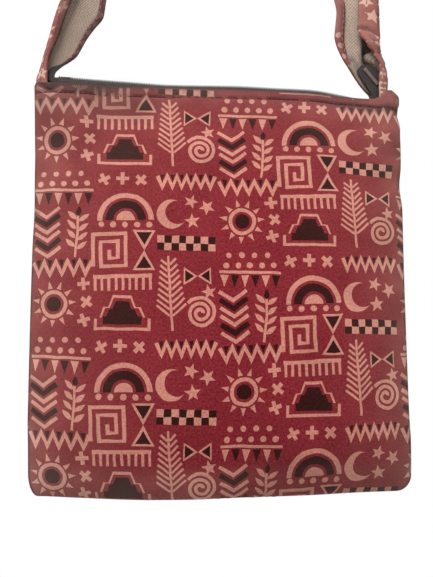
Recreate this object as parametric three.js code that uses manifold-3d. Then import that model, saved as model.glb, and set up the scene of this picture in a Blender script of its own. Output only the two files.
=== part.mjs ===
// A flat crossbody bag of printed cotton, hanging by its strap.
// Millimetres, +Z up, +X to the wearer's right as seen from the front, -Y towards the front.
// The origin is where the strap hangs: the middle of its underside, at the top of the loop.
import * as THREE from "three";
import { mergeVertices } from "three/addons/utils/BufferGeometryUtils.js";
import Module from "manifold-3d";

const wasm = await Module();
wasm.setup();

// Driving sizes
const bagWidth = 240; // across the side seams
const bagHeight = 259; // bottom seam to the top of the corners
const clothWall = 1.6; // outer cloth with its backing
const seamGap = 0.3; // between the front and the back where they are sewn together
const cornerRadius = 10; // rounded bottom corners
const bottomSag = 3.5; // the bottom seam hangs lower in the middle
const bottomRound = 30; // height over which the pouch fills out above the bottom seam
const strapDrop = 590; // corners to the underside of the strap's top
const hangRadius = 22; // radius of the strap's underside where it hangs
const bandWall = 1.0; // printed cloth of the strap
const hemWidth = 5; // cloth folded over each edge of the strap
const hemRise = 1.3; // how far that fold stands above the inside of the band
const hemSlope = 0.4; // width of the step from the fold down to the band
const tapeWall = 1.0;
const tapeLift = 0.65; // the tape lies loose on the band
const pieceGap = 0.3; // between pieces that touch
const zipHalf = 98.5; // half the length of the zip
const zipTapeWall = 1.0;
const zipTapeLean = 0.5; // each tape leans in towards the chain
const zipTuck = 7; // how far the tapes go down inside the hem
const chainWidth = 5;
const chainHeight = 1.2;
const toothPitch = 1.6;
const toothHeight = 0.9;

// The pouch by height: depth of the front and the back from the seam plane, the distance from a side seam
// over which the cloth rounds out (shoulder), how wedge-like that rounding is (0.5 is a round edge), and how
// far each side seam stands in from the straight side.
const pouchRows = [
  { height: 0, front: 13, back: 11, shoulder: 86, wedge: 0.64, inLeft: 1.0, inRight: 0.6 },
  { height: 45, front: 16.5, back: 13.5, shoulder: 84, wedge: 0.64, inLeft: 0.2, inRight: 0.0 },
  { height: 90, front: 16.5, back: 13.5, shoulder: 80, wedge: 0.64, inLeft: 0.0, inRight: 0.2 },
  { height: 150, front: 13, back: 11, shoulder: 70, wedge: 0.62, inLeft: 0.6, inRight: 0.9 },
  { height: 198, front: 9, back: 8, shoulder: 46, wedge: 0.58, inLeft: 1.6, inRight: 2.2 },
  { height: 214, front: 7.8, back: 7.2, shoulder: 34, wedge: 0.55, inLeft: 2.4, inRight: 0.8 },
  { height: 232, front: 6.4, back: 6.2, shoulder: 18, wedge: 0.52, inLeft: 1.0, inRight: 1.4 },
  { height: 246, front: 5.6, back: 5.6, shoulder: 9, wedge: 0.5, inLeft: 0.6, inRight: 2.2 },
  { height: 259, front: 5.2, back: 5.2, shoulder: 8, wedge: 0.5, inLeft: 0.4, inRight: 0.2 },
];

// The strap's ends fill the top corners, so the pouch is thicker there.
const ear = { depth: 2.4, innerSide: 72, outerSide: 87, lowest: 215, full: 240 };

// Soft folds of the cloth: a line from one point to another on the panel, its width and its height.
const frontFolds = [
  { fromX: -104, fromZ: 252, toX: -66, toZ: 172, width: 15, height: 1.6 },
  { fromX: 119, fromZ: 246, toX: 84, toZ: 236, width: 9, height: -1.8 },
  { fromX: 118, fromZ: 200, toX: 92, toZ: 208, width: 12, height: -1.8 },
  { fromX: -118, fromZ: 214, toX: -94, toZ: 210, width: 10, height: -1.6 },
  { fromX: -112, fromZ: 16, toX: -76, toZ: 52, width: 14, height: 1.4 },
  { fromX: 112, fromZ: 16, toX: 80, toZ: 50, width: 14, height: 1.2 },
  { fromX: -60, fromZ: 240, toX: 40, toZ: 236, width: 18, height: -0.9 },
];
const backFolds = [
  { fromX: -104, fromZ: 250, toX: -72, toZ: 180, width: 16, height: 1.5 },
  { fromX: 104, fromZ: 250, toX: 70, toZ: 176, width: 16, height: 1.5 },
  { fromX: -110, fromZ: 18, toX: -78, toZ: 50, width: 14, height: 1.2 },
  { fromX: 110, fromZ: 18, toX: 78, toZ: 52, width: 14, height: 1.2 },
];

// Height of the hem from left to right: it sags towards the right strap, and the corner there stands up again.
const hemRows = [
  { side: -120, height: 258.4 },
  { side: -104, height: 258.0 },
  { side: -84, height: 256.9 },
  { side: -32, height: 255.3 },
  { side: 20, height: 254.6 },
  { side: 60, height: 254.1 },
  { side: 79, height: 252.2 },
  { side: 95, height: 250.9 },
  { side: 106, height: 250.6 },
  { side: 112, height: 256.4 },
  { side: 117, height: 256.2 },
  { side: 120, height: 255.0 },
];

// How far the top of the zip chain stands above the hem, along the zip from left to right.
const zipRows = [
  { side: -98.5, rise: 7.7 },
  { side: -60, rise: 6.9 },
  { side: 0, rise: 5.9 },
  { side: 60, rise: 5.4 },
  { side: 79, rise: 4.8 },
  { side: 89, rise: 4.2 },
  { side: 98.5, rise: 4.0 },
];

// Each leg of the strap by its height above the corners: distance of its lengthwise fold from the bag's middle,
// place of that fold front to back, width of the strap (gathered at the bag), width of the flap in front of the
// fold, angle and radius of the fold, and the turn of the strap (0 faces the front, 90 faces the other leg).
const leftLeg = [
  { rise: -24, side: 109.8, depth: 2.8, width: 20, flap: 8, bend: 180, radius: 2.8, turn: 0 },
  { rise: 0, side: 112.4, depth: 3, width: 21, flap: 8, bend: 180, radius: 3, turn: 0 },
  { rise: 8, side: 112.2, depth: 2.9, width: 21.5, flap: 8, bend: 172, radius: 2.8, turn: 12 },
  { rise: 12, side: 111.4, depth: 2.7, width: 22, flap: 7.8, bend: 165, radius: 2.6, turn: 18 },
  { rise: 16, side: 110.6, depth: 2.5, width: 24, flap: 7.6, bend: 158, radius: 2.5, turn: 21 },
  { rise: 20, side: 109.7, depth: 2.3, width: 28, flap: 7.4, bend: 150, radius: 2.4, turn: 23 },
  { rise: 28, side: 107.6, depth: 2, width: 32, flap: 7.2, bend: 145, radius: 2.4, turn: 24 },
  { rise: 36, side: 105.6, depth: 1.7, width: 35, flap: 7, bend: 140, radius: 2.4, turn: 24 },
  { rise: 45, side: 103.2, depth: 1.4, width: 38.5, flap: 7, bend: 136, radius: 2.4, turn: 24 },
  { rise: 54, side: 100.7, depth: 1.2, width: 40, flap: 7, bend: 130, radius: 2.4, turn: 24 },
  { rise: 66, side: 97.4, depth: 1, width: 40, flap: 7, bend: 122, radius: 2.4, turn: 30 },
  { rise: 120, side: 84, depth: 0, width: 40, flap: 6, bend: 85, radius: 3, turn: 34 },
  { rise: 240, side: 60, depth: -5, width: 40, flap: 5.5, bend: 35, radius: 6, turn: 54 },
  { rise: 400, side: 36, depth: -12, width: 40, flap: 5, bend: 8, radius: 8, turn: 80 },
  { rise: 500, side: 26, depth: -15, width: 40, flap: 5, bend: 0, radius: 8, turn: 90 },
];
const rightLeg = [
  { rise: -24, side: 107.4, depth: 2.8, width: 21, flap: 7.5, bend: 180, radius: 2.8, turn: 0 },
  { rise: -2, side: 108.2, depth: 3, width: 22, flap: 7.5, bend: 180, radius: 3, turn: 0 },
  { rise: 4, side: 106.6, depth: 2.9, width: 24.2, flap: 7.5, bend: 178, radius: 2.6, turn: 4 },
  { rise: 8, side: 106.4, depth: 2.8, width: 27.4, flap: 8, bend: 177, radius: 2.5, turn: 6 },
  { rise: 16, side: 105.4, depth: 2.6, width: 32, flap: 8.6, bend: 176, radius: 2.4, turn: 8 },
  { rise: 24, side: 103.6, depth: 2.4, width: 36, flap: 8.8, bend: 175, radius: 2.4, turn: 8 },
  { rise: 32, side: 102.6, depth: 2.2, width: 39, flap: 8.8, bend: 174, radius: 2.4, turn: 8 },
  { rise: 41, side: 102.7, depth: 2.1, width: 40, flap: 8.5, bend: 172, radius: 2.4, turn: 6 },
  { rise: 58, side: 102.3, depth: 2, width: 40, flap: 9, bend: 170, radius: 2.4, turn: 20 },
  { rise: 68, side: 101.6, depth: 1.8, width: 40, flap: 9, bend: 168, radius: 2.4, turn: 18 },
  { rise: 120, side: 93, depth: 0.5, width: 40, flap: 8, bend: 135, radius: 2.6, turn: 22 },
  { rise: 240, side: 66, depth: -5, width: 40, flap: 6.5, bend: 60, radius: 4.5, turn: 48 },
  { rise: 400, side: 37, depth: -12, width: 40, flap: 5, bend: 10, radius: 8, turn: 80 },
  { rise: 500, side: 26, depth: -15, width: 40, flap: 5, bend: 0, radius: 8, turn: 90 },
];
const legRises = [-24, -12, -2, 3, 8, 12, 16, 20, 24, 28, 36, 45, 54, 66, 85, 105, 125, 150, 190, 245, 310, 400, 500];
const archSteps = 8;

const cottonRed = new THREE.MeshStandardMaterial({ color: 0x8f2f38, roughness: 0.9, metalness: 0 });
const tapeBeige = new THREE.MeshStandardMaterial({ color: 0xb09c86, roughness: 0.9, metalness: 0 });
const zipGrey = new THREE.MeshStandardMaterial({ color: 0x3a3534, roughness: 0.8, metalness: 0 });
const toothGrey = new THREE.MeshStandardMaterial({ color: 0x4a4745, roughness: 0.45, metalness: 0 });
const sliderMetal = new THREE.MeshStandardMaterial({ color: 0x4b4846, roughness: 0.4, metalness: 0.9 });

const clamp01 = (t) => Math.min(1, Math.max(0, t));
const smooth = (t) => clamp01(t) ** 2 * (3 - 2 * clamp01(t));
const mix = (a, b, t) => a + (b - a) * t;

// Reads one column of a table at any place between its rows, on a smooth line that never overshoots a row.
function readTable(rows, key, at, column) {
  const last = rows.length - 1;
  const i = Math.min(last - 1, Math.max(0, rows.findIndex((row) => row[key] > at) - 1));
  const from = at >= rows[last][key] ? last - 1 : i;
  const slope = (j) => (rows[j + 1][column] - rows[j][column]) / (rows[j + 1][key] - rows[j][key]);
  const tangent = (j) => {
    if (j === 0) return slope(0);
    if (j === last) return slope(last - 1);
    const before = slope(j - 1);
    const after = slope(j);
    return before * after <= 0 ? 0 : (2 * before * after) / (before + after);
  };
  const step = rows[from + 1][key] - rows[from][key];
  const t = clamp01((at - rows[from][key]) / step);
  const start = rows[from][column] * (1 + 2 * t) * (1 - t) ** 2 + rows[from + 1][column] * t * t * (3 - 2 * t);
  return start + step * (tangent(from) * t * (1 - t) ** 2 + tangent(from + 1) * t * t * (t - 1));
}

// A wall or a bar: a box cut into along x across x through cells, with each point placed by bend(u, v, w).
function bentBox(along, across, through, bend) {
  const box = new THREE.BoxGeometry(1, 1, 1, along, across, through);
  box.deleteAttribute("normal");
  box.deleteAttribute("uv");
  const place = box.getAttribute("position");
  for (let i = 0; i < place.count; i++) {
    const p = bend(place.getX(i) + 0.5, place.getY(i) + 0.5, place.getZ(i) + 0.5);
    place.setXYZ(i, p.x, p.y, p.z);
  }
  const made = mergeVertices(box, 1e-4);
  if (volumeOf(made) < 0) made.index.array.reverse();
  made.computeVertexNormals();
  return made;
}

function volumeOf(geometry) {
  const place = geometry.getAttribute("position");
  const corner = (i) => new THREE.Vector3().fromBufferAttribute(place, geometry.index.getX(i));
  let six = 0;
  for (let i = 0; i < geometry.index.count; i += 3)
    six += corner(i).dot(corner(i + 1).cross(corner(i + 2)));
  return six / 6;
}

function asSolid(geometry) {
  const bare = geometry.index ? geometry.toNonIndexed() : geometry.clone();
  bare.deleteAttribute("normal");
  bare.deleteAttribute("uv");
  const merged = mergeVertices(bare, 1e-4);
  return new wasm.Manifold(
    new wasm.Mesh({
      numProp: 3,
      vertProperties: merged.getAttribute("position").array,
      triVerts: new Uint32Array(merged.index.array),
    }),
  );
}

function asGeometry(solid) {
  const mesh = solid.getMesh();
  return new THREE.BufferGeometry()
    .setAttribute("position", new THREE.BufferAttribute(new Float32Array(mesh.vertProperties), 3))
    .setIndex(new THREE.BufferAttribute(new Uint32Array(mesh.triVerts), 1));
}

const bag = new THREE.Group();
const hangingBag = new THREE.Group(); // measured up from the bottom seam, and hung below the origin
hangingBag.position.z = -(bagHeight + strapDrop);
bag.add(hangingBag);

function addPiece(name, geometry, material) {
  const mesh = new THREE.Mesh(geometry, material);
  mesh.name = name;
  hangingBag.add(mesh);
  return mesh;
}

// The pouch

// Distance of a side seam from the bag's middle at a height, with the bottom corner rounded off.
function sideSeam(column, height) {
  const drop = Math.max(0, cornerRadius - height);
  const corner = cornerRadius - Math.sqrt(cornerRadius ** 2 - drop ** 2);
  return bagWidth / 2 - readTable(pouchRows, "height", height, column) - corner;
}

const hemHeight = (x) => readTable(hemRows, "side", x, "height");

function foldHeight(folds, x, z) {
  let sum = 0;
  for (const fold of folds) {
    const runX = fold.toX - fold.fromX;
    const runZ = fold.toZ - fold.fromZ;
    const t = ((x - fold.fromX) * runX + (z - fold.fromZ) * runZ) / (runX ** 2 + runZ ** 2);
    const near = clamp01(t);
    const away = Math.hypot(x - fold.fromX - near * runX, z - fold.fromZ - near * runZ) / fold.width;
    sum += fold.height * Math.exp(-away * away * 2) * (1 - 0.5 * near);
  }
  return sum;
}

// Depth of the cloth's outer face from the seam plane, at a height and a distance in from the side seam.
function pouchDepth(side, x, height, inset) {
  const row = (column) => readTable(pouchRows, "height", height, column);
  const shoulder = row("shoulder");
  const t = clamp01(inset / shoulder);
  const across = (t * (2 - t)) ** row("wedge");
  const lift = clamp01(height / bottomRound);
  const upwards = Math.sqrt(lift * (2 - lift));
  const corner = smooth((Math.abs(x) - ear.innerSide) / (ear.outerSide - ear.innerSide));
  const thick = row(side) + ear.depth * corner * smooth((height - ear.lowest) / (ear.full - ear.lowest));
  const folds = side === "front" ? frontFolds : backFolds;
  const held = smooth(inset / 12) * smooth(height / 16) * smooth((bagHeight - 6 - height) / 12);
  return thick * across * upwards + foldHeight(folds, x, height) * held;
}

// One panel: a sheet that leaves the seam plane at the sides and the bottom, and is open at the hem.
function panel(side, columns, rows) {
  const away = side === "front" ? -1 : 1;
  return bentBox(columns, rows, 1, (u, v, w) => {
    const s = Math.sin((u - 0.5) * Math.PI);
    const inner = (1 - w) * clothWall;
    const height = bagHeight * mix(v, 1 - Math.cos((v * Math.PI) / 2), 0.6);
    const held = mix(height, Math.max(height, inner), 1 - v);
    const left = sideSeam("inLeft", height) - inner;
    const right = sideSeam("inRight", height) - inner;
    const x = s < 0 ? s * left : s * right;
    const inset = s < 0 ? left + x : right - x;
    const outer = pouchDepth(side, x, height, inset);
    const depth = w > 0.5 ? outer : Math.max(0, outer - clothWall);
    const sag = bottomSag * (1 - s * s) * (1 - v) ** 3;
    const hem = (bagHeight - hemHeight(x)) * v ** 6;
    return new THREE.Vector3(x, away * (seamGap / 2 + depth), held - sag - hem);
  });
}

addPiece("front_panel", panel("front", 24, 26), cottonRed);
addPiece("back_panel", panel("back", 18, 20), cottonRed);

// The zip

const zipRise = (x) => readTable(zipRows, "side", x, "rise");
const chainBase = (x) => hemHeight(x) + zipRise(x) - chainHeight - toothHeight;

function zipTape(away) {
  const cells = 44;
  return bentBox(cells, 1, 1, (u, v, w) => {
    const x = mix(-zipHalf, zipHalf, u);
    const low = hemHeight(x) - zipTuck;
    const z = mix(low, chainBase(x) - pieceGap, v);
    const foot = 5.2 - clothWall - pieceGap;
    return new THREE.Vector3(x, away * (foot - v * zipTapeLean - (1 - w) * zipTapeWall), z);
  });
}

addPiece("zip_tape_front", zipTape(-1), zipGrey);
addPiece("zip_tape_back", zipTape(1), zipGrey);

// The closed chain: one bar with a ridge for each tooth.
const chainHalf = zipHalf - 1;
const toothCount = Math.round((2 * chainHalf) / toothPitch);
const chain = bentBox(2 * toothCount, 1, 1, (u, v, w) => {
  const x = mix(-chainHalf, chainHalf, u);
  const ridge = Math.round(u * 2 * toothCount) % 2;
  const z = chainBase(x) + v * (chainHeight + ridge * toothHeight);
  return new THREE.Vector3(x, (w - 0.5) * chainWidth, z);
});
addPiece("zip_teeth", chain, toothGrey);

// The slider at the right end: a body with a channel for the chain, and a pull that hangs over the back.
const slider = { side: 92, length: 9, width: 9, below: 1, above: 1.6, pullWidth: 4.5, pullWall: 1.2, pullDrop: 20 };

function block(lengthX, lengthY, lengthZ, x, y, z) {
  return asSolid(new THREE.BoxGeometry(lengthX, lengthY, lengthZ).translate(x, y, z));
}

function zipSlider() {
  const { side, length, width, below, above, pullWidth, pullWall, pullDrop } = slider;
  const base = chainBase(side);
  const low = base - below;
  const high = base + chainHeight + toothHeight + above;
  const body = block(length, width, high - low, side, 0, (high + low) / 2);
  const play = 2 * (pieceGap + 0.2);
  const room = chainHeight + toothHeight + play;
  const channel = block(length + 2, chainWidth + play, room, side, 0, base + room / 2 - play / 2);
  const slot = block(length + 2, width - 2, below * 4, side, 0, low);
  const pullLow = high + pullWall - pullDrop;
  const backDepth = (x, z) => pouchDepth("back", x, z, bagWidth / 2 - x);
  const around = [side - pullWidth, side, side + pullWidth];
  const deepest = Math.max(...around.map((x) => Math.max(backDepth(x, pullLow), backDepth(x, bagHeight - 6))));
  const backFace = seamGap / 2 + deepest + 2 * pieceGap;
  const reach = backFace + pullWall;
  const over = block(pullWidth, reach, pullWall, side, reach / 2, high + pullWall / 2 - 0.1);
  const hang = block(pullWidth, pullWall, pullDrop, side, backFace + pullWall / 2, high + pullWall - 0.1 - pullDrop / 2);
  return asGeometry(body.subtract(channel).subtract(slot).add(over).add(hang));
}

addPiece("zip_slider", zipSlider(), sliderMetal);

// The strap

// Every station along the strap: where its fold lies, which way its width and its inner face point, and its row.
function strapStations() {
  const stations = [];
  const archCentre = bagHeight + strapDrop - hangRadius;
  const inside = hangRadius + hemRise;
  const legPoint = (leg, sign, rise) => {
    const ends = [...leg, { ...leg[leg.length - 1], rise: strapDrop - hangRadius, side: inside }];
    const row = {};
    for (const column of Object.keys(leg[0])) row[column] = readTable(ends, "rise", rise, column);
    return { row, place: new THREE.Vector3(sign * row.side, row.depth, bagHeight + rise) };
  };
  const addLeg = (leg, sign, rises) => {
    for (const rise of rises) {
      const { row, place } = legPoint(leg, sign, rise);
      const ahead = legPoint(leg, sign, rise + 1).place.sub(legPoint(leg, sign, rise - 1).place);
      const turn = THREE.MathUtils.degToRad(row.turn);
      const way = ahead.normalize().multiplyScalar(-sign);
      stations.push({ row, place, way, wide: new THREE.Vector3(-sign * Math.cos(turn), Math.sin(turn), 0) });
    }
  };
  addLeg(leftLeg, -1, legRises);
  const top = legPoint(leftLeg, -1, strapDrop - hangRadius).row;
  for (let i = 0; i <= archSteps; i++) {
    const angle = (i / archSteps) * Math.PI;
    stations.push({
      row: top,
      place: new THREE.Vector3(-inside * Math.cos(angle), top.depth, archCentre + inside * Math.sin(angle)),
      way: new THREE.Vector3(Math.sin(angle), 0, Math.cos(angle)),
      wide: new THREE.Vector3(0, 1, 0),
    });
  }
  addLeg(rightLeg, 1, [...legRises].reverse());
  for (const station of stations) {
    station.wide.addScaledVector(station.way, -station.wide.dot(station.way)).normalize();
    station.face = new THREE.Vector3().crossVectors(station.wide, station.way);
  }
  return stations;
}

const stations = strapStations();

// A point of the strap's section: w runs from the back edge to the front edge, lift stands on the inner face.
function strapPoint(station, w, lift) {
  const { row, place, wide, face } = station;
  const bend = THREE.MathUtils.degToRad(row.bend);
  const arc = row.radius * bend;
  const main = row.width - row.flap - arc;
  const turned = row.radius > 0 ? Math.min(bend, Math.max(0, (w - main) / row.radius)) : 0;
  const past = Math.max(0, w - main - arc);
  const a = (w < main ? main - w : 0) - row.radius * Math.sin(turned) - past * Math.cos(turned);
  const b = row.radius * (1 - Math.cos(turned)) + past * Math.sin(turned);
  const outA = a + lift * Math.sin(turned);
  const outB = b + lift * Math.cos(turned);
  return place.clone().addScaledVector(wide, outA).addScaledVector(face, outB);
}

// Places across the band: the back edge's fold, even steps over the inside, then the front edge's fold.
const insideSteps = 10;

function bandAcross(row, i) {
  const backFold = [0, hemWidth - hemSlope];
  const frontFold = [row.width - hemWidth + hemSlope, row.width - hemWidth / 2, row.width];
  if (i < 2) return { w: backFold[i], lift: hemRise };
  if (i > insideSteps + 2) return { w: frontFold[i - insideSteps - 3], lift: hemRise };
  return { w: mix(hemWidth, row.width - hemWidth, (i - 2) / insideSteps), lift: 0 };
}

function strapBand() {
  const across = insideSteps + 5;
  return bentBox(stations.length - 1, across, 1, (u, v, w) => {
    const station = stations[Math.round(u * (stations.length - 1))];
    const at = bandAcross(station.row, Math.round(v * across));
    return strapPoint(station, at.w, w > 0.5 ? at.lift : -bandWall);
  });
}

// The tape lies on the inside of the band, between the folds.
function strapTape() {
  return bentBox(stations.length - 1, insideSteps, 1, (u, v, w) => {
    const station = stations[Math.round(u * (stations.length - 1))];
    const at = bandAcross(station.row, 2 + Math.round(v * insideSteps)).w;
    const first = hemWidth + pieceGap;
    const last = station.row.width - hemWidth - pieceGap;
    return strapPoint(station, Math.min(last, Math.max(first, at)), tapeLift + (w > 0.5 ? tapeWall : 0));
  });
}

addPiece("strap_band", strapBand(), cottonRed);
addPiece("strap_tape", strapTape(), tapeBeige);

export default bag;
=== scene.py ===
# Crossbody bag of printed cotton, hung by its strap: the cloth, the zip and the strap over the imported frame.
import bisect
import math

import bpy
from mathutils import Matrix, Vector, noise
from mathutils.geometry import delaunay_2d_cdt


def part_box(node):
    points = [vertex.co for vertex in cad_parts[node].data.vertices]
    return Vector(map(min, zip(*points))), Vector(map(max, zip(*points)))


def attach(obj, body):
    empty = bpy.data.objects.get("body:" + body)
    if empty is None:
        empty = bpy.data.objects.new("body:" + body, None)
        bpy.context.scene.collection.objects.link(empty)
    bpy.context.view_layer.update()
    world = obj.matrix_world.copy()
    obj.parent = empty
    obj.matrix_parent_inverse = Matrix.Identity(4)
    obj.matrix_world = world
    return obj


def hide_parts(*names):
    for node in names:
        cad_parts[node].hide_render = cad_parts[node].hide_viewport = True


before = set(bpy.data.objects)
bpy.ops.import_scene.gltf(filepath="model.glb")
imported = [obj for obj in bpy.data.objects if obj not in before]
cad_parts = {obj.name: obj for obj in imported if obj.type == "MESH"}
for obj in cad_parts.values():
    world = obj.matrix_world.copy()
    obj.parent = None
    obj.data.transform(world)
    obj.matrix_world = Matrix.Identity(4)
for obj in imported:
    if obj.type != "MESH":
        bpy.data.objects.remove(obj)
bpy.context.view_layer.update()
mm = 0.001
fullTurn = 2 * math.pi
noise.seed_set(5)  # the same wander of the print in every run
print("stage: frame loaded with", len(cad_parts), "nodes")


def clamp01(t):
    return min(1.0, max(0.0, t))


def smooth(t):
    t = clamp01(t)
    return t * t * (3 - 2 * t)


# 0 before the start and 1 past the end, with a soft step between them; the end may lie below the start
def ramp(at, start, end):
    return smooth((at - start) / (end - start))


# 1 on a line, fading out softly on both sides of it
def onLine(away, width):
    return math.exp(-((away / width) ** 2))


def mix(a, b, t):
    return a + (b - a) * t


# reads a column of a table between its rows, on a smooth line that never overshoots a row
def readTable(rows, key, at, column):
    last = len(rows) - 1
    i = 0
    while i < last - 1 and rows[i + 1][key] <= at:
        i += 1

    def slope(j):
        return (rows[j + 1][column] - rows[j][column]) / (rows[j + 1][key] - rows[j][key])

    def tangent(j):
        if j == 0:
            return slope(0)
        if j == last:
            return slope(last - 1)
        before, after = slope(j - 1), slope(j)
        return 0.0 if before * after <= 0 else 2 * before * after / (before + after)

    step = rows[i + 1][key] - rows[i][key]
    t = clamp01((at - rows[i][key]) / step)
    held = rows[i][column] * (1 + 2 * t) * (1 - t) ** 2 + rows[i + 1][column] * t * t * (3 - 2 * t)
    return held + step * (tangent(i) * t * (1 - t) ** 2 + tangent(i + 1) * t * t * (t - 1))


def asRows(columns, values):
    return [dict(zip(columns, row)) for row in values]


def linear(hexColour):
    parts = [int(hexColour[i : i + 2], 16) / 255 for i in (1, 3, 5)]
    return tuple(c / 12.92 if c <= 0.04045 else ((c + 0.055) / 1.055) ** 2.4 for c in parts) + (1.0,)


# adds a node with its settings, fills or links its sockets, and gives its outputs
def addNode(tree, kind, inputs=None, **settings):
    node = tree.nodes.new("ShaderNode" + kind)
    for name, value in settings.items():
        setattr(node, name, value)
    for socket, value in (inputs or {}).items():
        if isinstance(value, bpy.types.NodeSocket):
            tree.links.new(value, node.inputs[socket])
        else:
            node.inputs[socket].default_value = value
    return node.outputs


def newMaterial(name):
    material = bpy.data.materials.new(name)
    material.use_nodes = True
    material.node_tree.nodes.clear()
    return material, material.node_tree


noiseSpan = {"From Min": 0.3, "From Max": 0.7}  # where nearly all of a noise texture lies

# Plain-weave cotton, pigment printed: matt and a little fuzzy, with a fine grain where its threads cross.
# It is drawn paler at its edges and in patches, partly real fading and partly painted sheen where the cloth
# turns away, and darker in its hems and creases, where shade is painted into its colour.
# Threads of 0.4 mm are drawn at 1.3 mm.
cotton = {
    "threadPitch": 1.3,
    "grain": 1.3,
    "patch": 24.0,
    "weaveDepth": 0.2,
    "threadTone": 0.16,
    "patchTone": {"To Min": 0.9, "To Max": 1.1},
    "shadeTone": "#4C3937",
    "fuzz": "#E8C8BC",
}


def printedCotton(name, ink, worn, paleTone):
    material, tree = newMaterial(name)
    cloth = addNode(tree, "UVMap", uv_map="cloth")["UV"]
    axes = addNode(tree, "SeparateXYZ", {0: cloth})
    perThread = fullTurn / cotton["threadPitch"]
    threads = []
    for axis in ("X", "Y"):
        turn = addNode(tree, "Math", {0: axes[axis], 1: perThread}, operation="MULTIPLY")[0]
        threads.append(addNode(tree, "Math", {0: turn}, operation="SINE")[0])
    weave = addNode(tree, "Math", {0: threads[0], 1: threads[1]}, operation="MULTIPLY")[0]
    grain = addNode(tree, "TexNoise", {"Vector": cloth, "Scale": 1 / cotton["grain"], "Detail": 2.0})["Fac"]
    patch = addNode(tree, "TexNoise", {"Vector": cloth, "Scale": 1 / cotton["patch"], "Detail": 3.0})["Fac"]
    speckle = addNode(tree, "MapRange", {"Value": grain, **noiseSpan})[0]
    inked = addNode(tree, "Mix", {"Factor": speckle, 6: linear(ink), 7: linear(worn)}, data_type="RGBA")[2]
    # the paler places, part real fading and part painted sheen, lie in patches, and painted shade lies over
    # all
    fade_and_sheen = addNode(tree, "Attribute", attribute_name="fade_and_sheen")["Fac"]
    cloudy = addNode(tree, "Math", {0: patch, 1: 0.9, 2: 0.55}, operation="MULTIPLY_ADD")[0]
    paleness = addNode(tree, "Math", {0: fade_and_sheen, 1: cloudy}, operation="MULTIPLY", use_clamp=True)[0]
    paled = addNode(tree, "Mix", {"Factor": paleness, 6: inked, 7: linear(paleTone)}, data_type="RGBA")[2]
    # painted shade: the attribute read here darkens the cloth towards a shade tone where shade falls, in its
    # hems, creases and towards the bottom
    painted_shade = addNode(tree, "Attribute", attribute_name="painted_shade")["Fac"]
    shaded = addNode(tree, "Mix", {"Factor": painted_shade, 6: paled, 7: linear(cotton["shadeTone"])}, data_type="RGBA")[2]
    mottle = addNode(tree, "Math", {0: weave, 1: cotton["threadTone"], 2: patch}, operation="MULTIPLY_ADD")[0]
    tone = addNode(tree, "MapRange", {"Value": mottle, **noiseSpan, **cotton["patchTone"]})[0]
    toned = addNode(tree, "HueSaturation", {"Color": shaded, "Value": tone})[0]
    lumps = addNode(tree, "Math", {0: grain, 1: 1.2, 2: weave}, operation="MULTIPLY_ADD")[0]
    depth = cotton["weaveDepth"] * mm
    bump = addNode(tree, "Bump", {"Strength": 0.55, "Distance": depth, "Height": lumps})[0]
    finish = {
        "Base Color": toned,
        "Roughness": 0.88,
        "IOR": 1.45,
        "Specular IOR Level": 0.08,
        "Sheen Weight": 0.04,
        "Sheen Roughness": 0.5,
        "Sheen Tint": linear(cotton["fuzz"]),
        "Normal": bump,
    }
    shader = addNode(tree, "BsdfPrincipled", finish)[0]
    addNode(tree, "OutputMaterial", {"Surface": shader})
    return material


# Cotton twill tape, undyed: matt beige with a raised diagonal rib and a weaker one across it.
# Ribs of 1 mm are drawn at 2.2 mm.
twill = {
    "rib": 2.2,
    "weft": 2.6,
    "grain": 1.4,
    "patch": 14.0,
    "ribDepth": 0.3,
    "ribTone": 0.24,
    "patchTone": {"To Min": 0.88, "To Max": 1.06},
    "darkSide": "#857266",
    "lightSide": "#CAB4A2",
    "shadeTone": "#5A4B46",
}


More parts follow.
